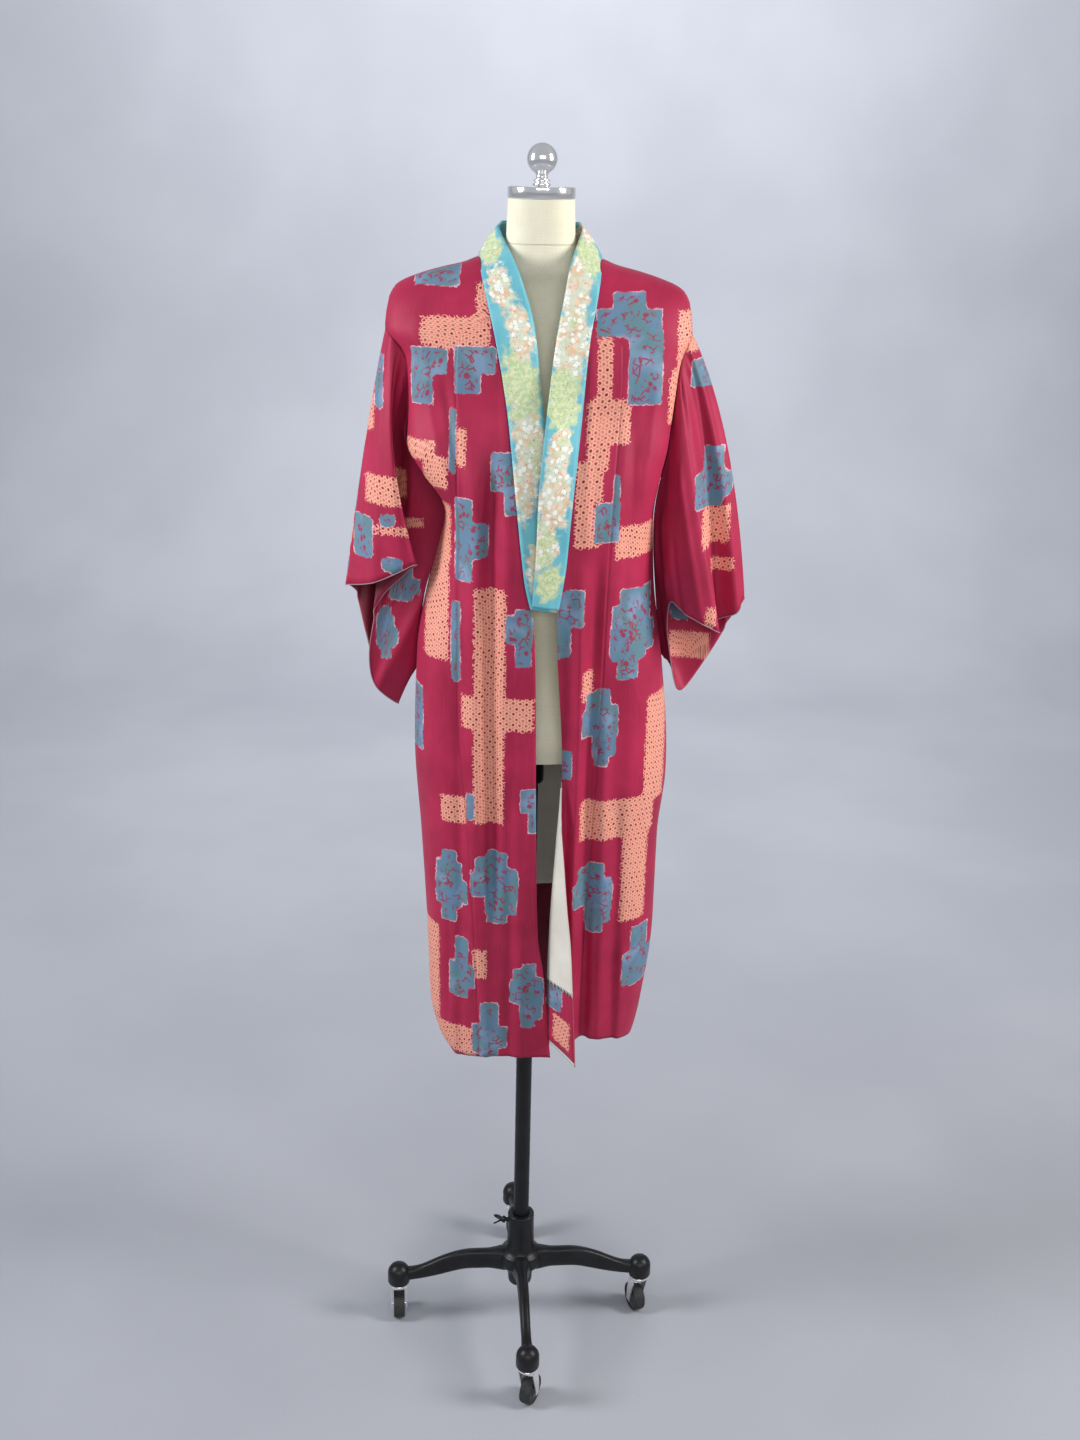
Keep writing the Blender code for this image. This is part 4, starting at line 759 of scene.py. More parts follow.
# ---------------------------------------------------------------- sleeves and collar
def through(points, steps, closed):
    """A smooth curve through points along axis 0 (Catmull-Rom)."""
    count = len(points)
    spans = count if closed else count - 1
    out = []
    for k in range(spans):
        picks = [(k + d) % count if closed else min(max(k + d, 0), count - 1)
                 for d in (-1, 0, 1, 2)]
        a, b, c, d = (points[p] for p in picks)
        for step in range(steps):
            t = step / steps
            out.append(0.5 * (2 * b + (c - a) * t + (2 * a - 5 * b + 4 * c - d) * t ** 2
                              + (3 * b - a - 3 * c + d) * t ** 3))
    if not closed:
        out.append(points[-1])
    return np.array(out)


# Sleeve creases: share round the sleeve, share along it at each end, half
# width as a share of the way round, and height.
SleeveFold = namedtuple("SleeveFold", "at start end width height")
FRONT_FOLDS = {
    "right": named(SleeveFold, [
        (0.026, 0.05, 0.95, 0.010, 0.0025), (0.070, 0.20, 1.00, 0.012, -0.0030),
        (0.123, 0.00, 1.00, 0.008, 0.0035), (0.205, 0.00, 0.95, 0.018, -0.0060),
        (0.289, 0.20, 1.00, 0.016, 0.0035), (0.367, 0.10, 0.80, 0.013, -0.0030),
    ]),
    "left": named(SleeveFold, [
        (0.037, 0.05, 0.95, 0.013, 0.0025), (0.131, 0.00, 1.00, 0.015, -0.0050),
        (0.200, 0.00, 1.00, 0.009, 0.0035), (0.280, 0.30, 1.00, 0.015, -0.0025),
        (0.355, 0.50, 1.00, 0.012, 0.0030), (0.420, 0.20, 0.80, 0.014, -0.0025),
    ]),
}
SLEEVE_FOLDS = named(SleeveFold, [
    (0.485, 0.00, 0.90, 0.019, -0.0040), (0.597, 0.10, 1.00, 0.017, 0.0040),
    (0.691, 0.00, 0.80, 0.015, -0.0040), (0.765, 0.15, 1.00, 0.013, 0.0045),
    (0.840, 0.00, 0.90, 0.013, -0.0035), (0.896, 0.10, 1.00, 0.011, 0.0030),
])


def sleeve(side, silk, inside, piping):
    """A sleeve: a folded tube of cloth, open at the body side and at the cuff."""
    sign = SIGN[side]
    t = np.linspace(0, 1, SLEEVE_STEPS)[:, None]
    coarse = []
    for line in SLEEVE[side]:
        centre, cuff = np.array([line.mx, line.my, line.mz]), np.array([line.cx, line.cy, line.cz])
        start = np.array([line.ax, line.ay, line.az])
        if line.join == "top":
            start = np.array([sign * SHOULDER[-1].x, 0, line.az])
        elif line.join:
            x = float(reach_x(side, line.join, np.array(line.az)))
            y = float(cloth_y(side, line.join, np.array(x), np.array(line.az)))
            start = np.array([x + sign * SLEEVE_LAP, y, line.az])
        elif line.name in ("free", "low", "bottom"):
            start[0] = float(reach_x(side, "front", np.array(line.az))) + sign * SLEEVE_FREE
        coarse.append(start * (1 - t) * (1 - 2 * t) + centre * 4 * t * (1 - t)
                      + cuff * t * (2 * t - 1))
    points = through(np.array(coarse), SLEEVE_SPANS, True)
    around = np.arange(len(points))[:, None] / len(points)
    along = np.linspace(0, 1, points.shape[1])[None, :]
    lift = np.zeros(points.shape[:2])
    for fold in FRONT_FOLDS[side] + SLEEVE_FOLDS:
        gap = (around - fold.at + 0.5) % 1 - 0.5 + 0.02 * (along - 0.5)
        fade = ramp((along - fold.start) / SLEEVE_FADE)
        fade = fade * ramp((fold.end + SLEEVE_FADE - along) / SLEEVE_FADE)
        lift += fold.height * fade * np.exp(-(gap / fold.width) ** 2)
    lift *= ramp(along / SLEEVE_EASE)
    wrap = np.concatenate([points[-1:], points, points[:1]])
    normal = np.cross(np.gradient(wrap, axis=0), np.gradient(wrap, axis=1))[1:-1]
    normal /= np.maximum(np.linalg.norm(normal, axis=-1, keepdims=True), 1e-9)
    points = points - sign * normal * lift[..., None]
    rear = np.arange(len(points)) >= 9 * SLEEVE_SPANS
    patch = Patch(points, side + " sleeve", None, flip=sign < 0, closed=True)
    mirrored = points[..., 0] * sign
    blue, dyed = design(MOTIFS["sleeve back"], mirrored, points[..., 2])
    patch.blue[rear], patch.dyed[rear] = blue[rear], dyed[rear]
    piece = cloth("silk_sleeve_" + side, [patch], SILK, silk, inside, ["sleeve_" + side])

    rim = bpy.data.curves.new("cuff_piping_" + side, "CURVE")
    rim.dimensions = "3D"
    rim.bevel_depth = PIPING_R
    rim.bevel_resolution = 2
    run = rim.splines.new("POLY")
    ring = points[:, -1]
    run.points.add(len(ring) - 1)
    for point, (x, y, z) in zip(run.points, ring):
        point.co = (x + AXIS_X, y, z, 1)
    run.use_cyclic_u = True
    rim.materials.append(piping)
    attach(link("cuff_piping_" + side, rim), "form")


def collar(finish):
    """The collar band round the neck and down both fronts."""
    def front_stations(side):
        band = BAND_EDGE[side]
        z = np.linspace(COLLAR_HIGH_Z, COLLAR_LOW_Z, COLLAR_STEPS)
        x = read(EDGE[side], "x", z)
        seams = stack(x, cloth_y(side, "front", x, z), z)
        frees = stack(read(band, "x", z), read(band, "y", z), read(band, "z", z))
        return seams, frees

    degrees = np.linspace(0, 180, NAPE_STEPS)
    angle = np.radians(degrees)
    nape_free = stack(-read(NAPE, "radius_x", degrees) * np.cos(angle),
                      read(NAPE, "radius_y", degrees) * np.sin(angle), read(NAPE, "z", degrees))
    right, left = front_stations("right"), front_stations("left")
    seam_side = np.concatenate([right[0][::-1], back_neck_points(degrees), left[0]])
    free_side = np.concatenate([right[1][::-1], nape_free, left[1]])
    seam_line = through(seam_side, COLLAR_SPANS, False)
    free_line = through(free_side, COLLAR_SPANS, False)
    length = arc_lengths(((seam_line + free_line) / 2)[:, None], 0)[:, 0]
    share = np.linspace(0, 1, COLLAR_COLUMNS)[None, :, None]
    points = seam_line[:, None] * (1 - share) + free_line[:, None] * share
    normal = np.cross(np.gradient(points, axis=0), np.gradient(points, axis=1))
    normal /= np.linalg.norm(normal, axis=-1, keepdims=True)
    wave = np.array([COLLAR_WAVE * noise.noise((s * 18, 0, 2.0)) for s in length])
    bulge = np.sin(np.pi * share[..., 0]) * (COLLAR_BULGE + wave[:, None])
    points = points - normal * bulge[..., None]
    patch = Patch(points)
    patch.u = np.repeat(length[:, None], COLLAR_COLUMNS, axis=1)
    patch.v = arc_lengths(points, 1)
    spread = np.full(patch.u.shape, 2.0)
    green = np.zeros(patch.u.shape)
    for cluster in CLUSTERS:
        here = np.hypot((patch.u - cluster.along) / cluster.long,
                        (patch.v - cluster.across) / cluster.wide)
        green = np.where(here < spread, cluster.green, green)
        spread = np.minimum(spread, here)
    patch.blue, patch.dyed = spread, green
    piece = cloth("collar_band", [patch], BAND, finish, None, ["collar"])


# ---------------------------------------------------------------- materials
class Shader:
    """A node material with short calls for the nodes it uses."""

    def __init__(self, name, **sockets):
        self.material = bpy.data.materials.new(name)
        self.material.use_nodes = True
        self.nodes = self.material.node_tree.nodes
        self.links = self.material.node_tree.links
        self.surface = self.nodes["Principled BSDF"]
        for socket, value in sockets.items():
            self.surface.inputs[socket.replace("_", " ")].default_value = value

    def node(self, kind, *inputs, **settings):
        """A node with inputs in order, each a value or an output socket."""
        made = self.nodes.new("ShaderNode" + kind)
        for key, value in settings.items():
            setattr(made, key, value)
        for socket, value in zip(made.inputs, inputs):
            if isinstance(value, bpy.types.NodeSocket):
                self.links.new(value, socket)
            elif value is not None:
                socket.default_value = value
        return made

    def math(self, operation, a, b=0.0, c=0.0):
        return self.node("Math", a, b, c, operation=operation).outputs[0]

    def plus(self, a, b):
        return self.math("ADD", a, b)

    def minus(self, a, b):
        return self.math("SUBTRACT", a, b)

    def times(self, a, b):
        return self.math("MULTIPLY", a, b)

    def ease(self, value, low, high):
        """0 below low and 1 above high, eased (low may be the larger)."""
        made = self.node("MapRange", value, low, high, 0.0, 1.0, interpolation_type="SMOOTHSTEP")
        return made.outputs[0]

    def mix(self, factor, a, b):
        """Colour b over a by factor."""
        made = self.node("Mix", data_type="RGBA")
        for socket, value in ((made.inputs[0], factor), (made.inputs[6], a), (made.inputs[7], b)):
            if isinstance(value, bpy.types.NodeSocket):
                self.links.new(value, socket)
            else:
                socket.default_value = value if isinstance(value, float) else (*value, 1.0)
        return made.outputs[2]

    def cloth_uv(self):
        """Lengths along the cloth, in metres."""
        return self.node("UVMap", uv_map="cloth").outputs[0]

    def spot(self):
        """Places in the object's own frame, in metres."""
        return self.node("TexCoord").outputs["Object"]

    def attribute(self, name):
        return self.node("Attribute", attribute_name=name).outputs["Fac"]

    def noise(self, vector, scale, detail=2.0, roughness=0.5):
        made = self.node("TexNoise")
        self.links.new(vector, made.inputs["Vector"])
        made.inputs["Scale"].default_value = scale
        made.inputs["Detail"].default_value = detail
        made.inputs["Roughness"].default_value = roughness
        return made.outputs["Fac"]

    def swing(self, *settings):
        """Noise about 0."""
        return self.minus(self.noise(*settings), 0.5)

    def cells(self, vector, scale, feature="F1"):
        made = self.node("TexVoronoi", feature=feature)
        self.links.new(vector, made.inputs["Vector"])
        made.inputs["Scale"].default_value = scale
        return made

    def scaled(self, vector, scale):
        return self.node("Mapping", vector, None, None, scale).outputs[0]

    def finish(self, color, heights=(), roughness=None):
        """Connect the colour and a stack of (height, strength, distance) bumps."""
        self.links.new(color, self.surface.inputs["Base Color"])
        if roughness is not None:
            self.links.new(roughness, self.surface.inputs["Roughness"])
        normal = None
        for height, strength, distance in heights:
            bump = self.node("Bump")
            bump.inputs["Strength"].default_value = strength
            bump.inputs["Distance"].default_value = distance
            self.links.new(height, bump.inputs["Height"])
            if normal is not None:
                self.links.new(normal, bump.inputs["Normal"])
            normal = bump.outputs[0]
        if normal is not None:
            self.links.new(normal, self.surface.inputs["Normal"])
        return self.material


CRIMSON = (0.450, 0.020, 0.074)
CRIMSON_DEEP = (0.325, 0.013, 0.050)
PEACH = (0.740, 0.220, 0.170)
PEACH_PALE = (0.860, 0.400, 0.290)
DYE_DOT = (0.160, 0.008, 0.014)
SLATE = (0.125, 0.225, 0.345)
SLATE_TEAL = (0.110, 0.225, 0.265)
SLATE_PALE = (0.200, 0.300, 0.440)
OUTLINE = (0.780, 0.560, 0.620)
CRIMSON_LIT = (0.560, 0.042, 0.115)
STITCH_DARK = (0.160, 0.008, 0.026)

# Colours of the collar print.
TURQUOISE = (0.170, 0.520, 0.600)
TURQUOISE_DEEP = (0.105, 0.420, 0.520)
PETAL = (0.700, 0.720, 0.560)
PETAL_WARM = (0.780, 0.520, 0.320)
LEAF = (0.500, 0.620, 0.320)
LEAF_PALE = (0.700, 0.740, 0.440)
BLOSSOM = (0.880, 0.900, 0.840)
BLOSSOM_WARM = (0.860, 0.640, 0.500)
BLOSSOM_EYE = (0.660, 0.560, 0.260)
PETAL_GAP = (0.260, 0.460, 0.440)
SPECK = (0.030, 0.130, 0.180)

LINEN = (0.880, 0.840, 0.680)
LINEN_DULL = (0.820, 0.770, 0.590)
LINEN_SLUB = (0.640, 0.600, 0.400)
LINEN_SEAM = (0.420, 0.380, 0.240)
FLOOR_TONES = (0.37, 0.38, 0.42), (0.41, 0.42, 0.46), (0.30, 0.31, 0.35)


def dot_distance(shader, u, v, pitch):
    """Distance to the nearest point of a triangular grid, in metres."""
    tall = pitch * math.sqrt(3)
    found = []
    for shift in (0.0, 0.5):
        parts = []
        for value, size in ((u, pitch), (v, tall)):
            cell = shader.math("FRACT", shader.plus(shader.math("DIVIDE", value, size), shift))
            parts.append(shader.times(shader.minus(cell, 0.5), size))
        squares = [shader.times(part, part) for part in parts]
        found.append(shader.math("SQRT", shader.plus(*squares)))
    return shader.math("MINIMUM", *found)


def figured_silk():
    """Crimson crepe with stepped blue flowers and blocks of tie-dyed rings."""
    s = Shader("figured_silk", Roughness=0.55, Specular_IOR_Level=0.22, Sheen_Weight=0.05,
               Sheen_Roughness=0.40, Sheen_Tint=(1.0, 0.55, 0.66, 1.0))
    uv = s.cloth_uv()
    apart = s.node("SeparateXYZ", uv).outputs
    u, v = apart[0], apart[1]
    wander = s.swing(uv, 160.0, 2.0)
    u_bent = s.plus(u, s.times(wander, 0.0022))
    v_bent = s.plus(v, s.times(s.swing(uv, 140.0), 0.0022))
    dots = dot_distance(s, u_bent, v_bent, DOT_PITCH)
    patchy = s.noise(uv, 9.0, 3.0, 0.6)
    fine = s.noise(uv, 420.0, 2.0)

    streaks = s.noise(s.scaled(uv, (900.0, 22.0, 1.0)), 1.0, 2.0)
    ground = s.mix(s.ease(patchy, 0.30, 0.75), CRIMSON_DEEP, CRIMSON)
    ground = s.mix(s.times(s.ease(streaks, 0.35, 0.80), 0.22), ground, CRIMSON_LIT)

    ring = s.math("ABSOLUTE", s.minus(dots, 0.0034))
    scallop = s.plus(s.times(ring, 2.2), s.math("MULTIPLY_ADD", wander, 0.010, -0.0022))
    ragged = s.plus(s.attribute("dyed"), scallop)
    dyed = s.ease(ragged, 0.0005, -0.0007)
    peach = s.mix(s.ease(dots, 0.0052, 0.0036), PEACH, PEACH_PALE)
    peach = s.mix(s.times(s.ease(fine, 0.55, 0.75), 0.35), peach, PEACH)
    peach = s.mix(s.times(s.ease(dots, 0.0046, 0.0055), 0.75), peach, CRIMSON)
    depth = s.node("MapRange", s.noise(uv, 55.0, 1.0), 0.30, 0.60, 0.35, 1.0).outputs[0]
    spot = s.times(s.ease(dots, 0.0027, 0.0013), depth)
    peach = s.mix(spot, peach, DYE_DOT)

    edge = s.plus(s.attribute("blue"), s.times(s.swing(uv, 190.0, 2.0), 0.0055))
    blue = s.ease(edge, 0.0004, -0.0006)
    rim = s.ease(s.math("ABSOLUTE", s.minus(edge, 0.0006)), 0.0011, 0.0003)
    halo = s.times(rim, s.ease(s.noise(uv, 38.0, 2.0), 0.40, 0.58))
    tint = s.mix(s.ease(s.noise(uv, 24.0, 3.0), 0.35, 0.65), SLATE, SLATE_TEAL)
    tint = s.mix(s.ease(s.noise(uv, 17.0, 2.0, 0.6), 0.52, 0.70), tint, SLATE_PALE)
    veins = s.cells(uv, 95.0, "DISTANCE_TO_EDGE").outputs["Distance"]
    vein = s.times(s.ease(veins, 0.14, 0.03), s.ease(s.noise(uv, 60.0, 2.0), 0.49, 0.57))
    blots = s.cells(uv, 75.0).outputs["Distance"]
    blot = s.times(s.ease(blots, 0.40, 0.24), s.ease(s.noise(uv, 35.0, 1.0), 0.48, 0.56))
    deep_in = s.ease(s.attribute("blue"), -0.002, -0.006)
    marks = s.times(s.math("MAXIMUM", vein, blot), deep_in)
    tint = s.mix(s.times(marks, 0.85), tint, CRIMSON_DEEP)

    color = s.mix(dyed, ground, peach)
    color = s.mix(s.times(halo, 0.75), color, OUTLINE)
    color = s.mix(blue, color, tint)
    stitch = s.ease(s.attribute("seam"), 0.0024, 0.0004)
    color = s.mix(s.times(stitch, 0.22), color, STITCH_DARK)
    crepe = s.noise(uv, 1300.0, 3.0, 0.6)
    puckers = s.times(dyed, s.ease(dots, 0.0036, 0.0))
    return s.finish(color, [(s.ease(s.attribute("seam"), 0.0, 0.0035), 0.6, 0.0010),
                            (puckers, 0.35, 0.0008), (crepe, 0.30, 0.0003)])


def plain_silk(name, color, shade):
    """Plain weave silk with slow unevenness of colour."""
    s = Shader(name, Roughness=0.5, Specular_IOR_Level=0.3, Sheen_Weight=0.15)
    uv = s.cloth_uv()
    tone = s.mix(s.ease(s.noise(uv, 12.0, 3.0, 0.6), 0.3, 0.7), shade, color)
    weave = s.node("TexWave", uv, 900.0, bands_direction="Y").outputs[1]
    return s.finish(tone, [(weave, 0.15, 0.0002), (s.noise(uv, 900.0, 2.0), 0.25, 0.0003)])


def collar_silk():
    """Turquoise crepe printed with loose clusters of small flowers."""
    s = Shader("collar_silk", Roughness=0.50, Specular_IOR_Level=0.35, Sheen_Weight=0.20)
    uv = s.cloth_uv()
    spread, green = s.attribute("blue"), s.attribute("dyed")
    patchy = s.noise(uv, 14.0, 3.0)
    ground = s.mix(s.ease(patchy, 0.35, 0.70), TURQUOISE_DEEP, TURQUOISE)
    lobes = s.plus(spread, s.times(s.swing(uv, 80.0, 3.0), 1.7))
    shown = s.ease(lobes, 1.30, 0.85)
    wash = s.noise(uv, 70.0, 2.0)
    petal = s.mix(s.ease(wash, 0.42, 0.62), PETAL, PETAL_WARM)
    leafy = s.ease(s.plus(green, s.swing(uv, 45.0, 2.0)), 0.30, 0.55)
    leaf = s.mix(s.ease(s.noise(uv, 160.0, 2.0), 0.40, 0.60), LEAF, LEAF_PALE)
    petal = s.mix(leafy, petal, leaf)
    bent = s.node("VectorMath", uv, s.scaled(s.node("TexNoise", uv, None, 90.0).outputs[1],
                                             (0.006, 0.006, 0.0))).outputs[0]
    blossom = s.cells(bent, 130.0)
    pick = s.node("SeparateColor", blossom.outputs["Color"]).outputs
    white = s.times(s.ease(blossom.outputs["Distance"], 0.56, 0.34),
                    s.ease(s.plus(pick[0], leafy), 1.15, 0.85))
    tip = s.mix(s.ease(pick[1], 0.70, 0.80), BLOSSOM, BLOSSOM_WARM)
    petal = s.mix(white, petal, tip)
    eye = s.times(s.ease(blossom.outputs["Distance"], 0.14, 0.06), white)
    petal = s.mix(s.times(eye, 0.45), petal, BLOSSOM_EYE)
    gaps = s.cells(bent, 130.0, "DISTANCE_TO_EDGE").outputs["Distance"]
    petal = s.mix(s.times(s.ease(gaps, 0.07, 0.01), 0.28), petal, PETAL_GAP)
    color = s.mix(shown, ground, petal)
    speck = s.cells(uv, 330.0)
    chosen = s.math("GREATER_THAN", s.node("SeparateColor", speck.outputs["Color"]).outputs[0], 0.78)
    dark = s.times(s.ease(speck.outputs["Distance"], 0.26, 0.16), chosen)
    near = s.ease(lobes, 1.5, 1.1)
    color = s.mix(s.times(dark, near), color, SPECK)
    return s.finish(color, [(s.noise(uv, 1300.0, 3.0, 0.6), 0.30, 0.0003)])


def linen():
    """Stretched cream linen with its woven slubs."""
    s = Shader("form_linen", Roughness=0.85, Specular_IOR_Level=0.25, Sheen_Weight=0.10)
    spot = s.spot()
    apart = s.node("SeparateXYZ", spot).outputs
    slubs = s.noise(s.scaled(spot, (40.0, 40.0, 900.0)), 1.0, 2.0)
    warp = s.noise(s.scaled(spot, (900.0, 900.0, 40.0)), 1.0, 2.0)
    weave = s.plus(slubs, warp)
    tone = s.mix(s.ease(s.noise(spot, 6.0, 3.0), 0.3, 0.7), LINEN_DULL, LINEN)
    tone = s.mix(s.times(s.ease(weave, 0.95, 1.25), 0.25), tone, LINEN_SLUB)
    neck = s.math("ABSOLUTE", s.minus(apart[2], NECK_SEAM_Z))
    seam = s.ease(neck, 0.0018, 0.0004)
    tone = s.mix(s.times(seam, 0.35), tone, LINEN_SEAM)
    groove = s.minus(1.0, seam)
    return s.finish(tone, [(groove, 0.6, 0.001), (weave, 0.25, 0.0004)])


def worn(name, color, second, roughness, metallic, scale):
    """A hard finish with slight unevenness of colour, gloss and surface."""
    s = Shader(name, Metallic=metallic, Specular_IOR_Level=0.5 if metallic else 0.32)
    spot = s.spot()
    tone = s.mix(s.ease(s.noise(spot, scale, 3.0), 0.35, 0.70), color, second)
    gloss = s.node("MapRange", s.noise(spot, scale * 3, 3.0), 0.3, 0.7, roughness * 0.8,
                   roughness * 1.25).outputs[0]
    return s.finish(tone, [(s.noise(spot, scale * 12, 2.0), 0.08, 0.0004)], gloss)


# ---------------------------------------------------------------- hard pieces
Turn = namedtuple("Turn", "radius z")
HUB_BARREL = named(Turn, [(22.5, 198), (22.6, 182), (23.1, 168), (24.3, 157), (26.4, 149)], MM)
HUB_FOOT = named(Turn, [(24.5, 110), (22.2, 102), (21, 94)], MM)
SCREW_SHAFT = named(Turn, [
    (0, 35.2), (3, 35), (4.5, 33), (6.2, 30), (6, 27.5), (3.6, 26.5), (3.6, 14.5), (0, 14.5),
], MM)
BORE_R = 0.0137           # the hole for the pole in the hub and the socket
FORM_RINGS = 130
FORM_POINTS = 96
WING_SPREAD = 0.0108      # how far a wing of the thumbscrew leans out
WING_ROOT = 0.0320
WING_LONG = 0.0175
LEG_ROOT_R = 0.018        # inside the hub's wall
LEG_ROOT_Z = 0.1275       # middle of a leg at the hub, and how far it falls
LEG_DROP = 0.0275
LEG_HALF = 0.0182         # half height at the hub, and how much it loses
LEG_THINNING = 0.0074
TRAIL = 0.013             # from a caster's stem to its axle
WHEEL_HALF = 0.0095
FORK_COVER = 0.0088       # from the top of a fork to under its cover
FORK_BEND = 0.30          # share of a fork's arm that is the bend
FORK_PLATE = 0.0009       # half its thickness
FORK_GAP = 0.0035         # from the wheel's face to the middle of an arm


def place(name, data, finish, body_name, at=(0, 0, 0), turn=0.0, replaces=()):
    """Link a mesh that rides on a body and stands for CAD nodes."""
    data.materials.append(finish)
    thing = link(name, data)
    thing.location = at
    thing.rotation_euler = (0, 0, turn)
    bpy.context.view_layer.update()
    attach(thing, body_name)
    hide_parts(*replaces)
    return thing


def turned(bm, profile, segments, matrix=Matrix()):
    """Add a turned shape about Z from (radius, z) points, top to bottom."""
    before = set(bm.verts)
    points = [bm.verts.new((radius, 0, z)) for radius, z in profile]
    edges = [bm.edges.new(pair) for pair in zip(points, points[1:])]
    bmesh.ops.spin(bm, geom=points + edges, axis=(0, 0, 1), cent=(0, 0, 0),
                   angle=2 * math.pi, steps=segments)
    made = [v for v in bm.verts if v not in before]
    bmesh.ops.remove_doubles(bm, verts=made, dist=0.00001)
    made = [v for v in bm.verts if v not in before]
    bmesh.ops.transform(bm, matrix=matrix, verts=made)


def mesh_from(name, bm, sharp=40):
    """Close a bmesh into a smooth-shaded mesh with sharp corners kept."""
    bmesh.ops.recalc_face_normals(bm, faces=bm.faces)
    data = bpy.data.meshes.new(name)
    bm.to_mesh(data)
    bm.free()
    data.shade_smooth()
    data.set_sharp_from_angle(angle=math.radians(sharp))
    return data


def loft(bm, rings):
    """Add a closed skin through rings of points."""
    loops = [[bm.verts.new(point) for point in ring] for ring in rings]
    count = len(loops[0])
    for low, high in zip(loops, loops[1:]):
        for i in range(count):
            k = (i + 1) % count
            bm.faces.new((low[i], low[k], high[k], high[i]))
    bm.faces.new(loops[0][::-1])
    bm.faces.new(loops[-1])


def upright(node):
    """Foot, top and radius of a CAD node that is round about the axis."""
    low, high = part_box(node)
    return low[2], high[2], (high[0] - low[0]) / 2


def place_turned(name, profile, segments, finish, body_name, node, sharp=40):
    """A turned piece on the stand's axis in place of one CAD node."""
    bm = bmesh.new()
    turned(bm, profile, segments)
    place(name, mesh_from(name, bm, sharp), finish, body_name, (AXIS_X, 0, 0), replaces=[node])


def arc(radius, centre_r, centre_z, start, end, steps):
    """Points of an arc in (radius, z), angles in degrees from +Z."""
    angles = np.radians(np.linspace(start, end, steps))
    return [(centre_r + radius * math.sin(a), centre_z + radius * math.cos(a)) for a in angles]


def dress_form(cover, chrome, iron):
    """The limbless form, its neck cap and finial, and the socket under it."""
    low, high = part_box("form_torso")
    heights = np.linspace(low[2], high[2], FORM_RINGS)
    rings = []
    angles = np.linspace(0, 2 * math.pi, FORM_POINTS, endpoint=False)
    c, s = np.cos(angles), np.sin(angles)
    for z in heights:
        half = float(read(FORM, "half", z))
        depth = np.where(s > 0, read(FORM, "back", z), read(FORM, "front", z))
        x = half * np.sign(c) * np.abs(c) ** (2 / FORM_ROUND)
        y = depth * np.sign(s) * np.abs(s) ** (2 / FORM_ROUND)
        rings.append([(a + AXIS_X, b, z) for a, b in zip(x, y)])
    bm = bmesh.new()
    loft(bm, rings)
    place("form_cover", mesh_from("form_cover", bm, 60), cover, "form", replaces=["form_torso"])

    foot, top, radius = upright("neck_cap")
    profile = [(0, top), (radius - 0.0035, top)]
    profile += arc(0.0022, radius - 0.0024, top - 0.0022, 10, 90, 6)
    profile += [(radius - 0.0002, foot + 0.0015), (radius - 0.0012, foot), (0, foot)]
    place_turned("cap_plate", profile, 72, chrome, "form", "neck_cap")

    foot, top, ball = upright("finial")
    centre = top - ball
    neck_angle = 180 - math.degrees(math.asin(0.0095 / ball))
    profile = arc(ball, 0, centre, 0, neck_angle, 26)
    profile += [(0.0082, centre - ball * 0.99), (0.0080, foot + 0.0090)]
    profile += arc(0.0016, 0.0100, foot + 0.0068, 0, 180, 8)
    profile += [(0.0086, foot + 0.0048), (0.0086, foot + 0.0040)]
    profile += arc(0.0018, 0.0110, foot + 0.0018, 0, 180, 8)
    profile += [(0, foot)]
    place_turned("finial_knob", profile, 48, chrome, "form", "finial", 50)

    foot, top, flange = upright("pole_socket")
    profile = [(BORE_R, top), (flange - 0.001, top), (flange, top - 0.001), (flange, top - 0.005),
               (flange - 0.002, top - 0.006), (0.024, top - 0.0075), (0.0212, top - 0.010),
               (0.0210, foot + 0.002), (0.0195, foot), (BORE_R, foot), (BORE_R, top)]
    place_turned("socket_ring", profile, 48, iron, "form", "pole_socket")


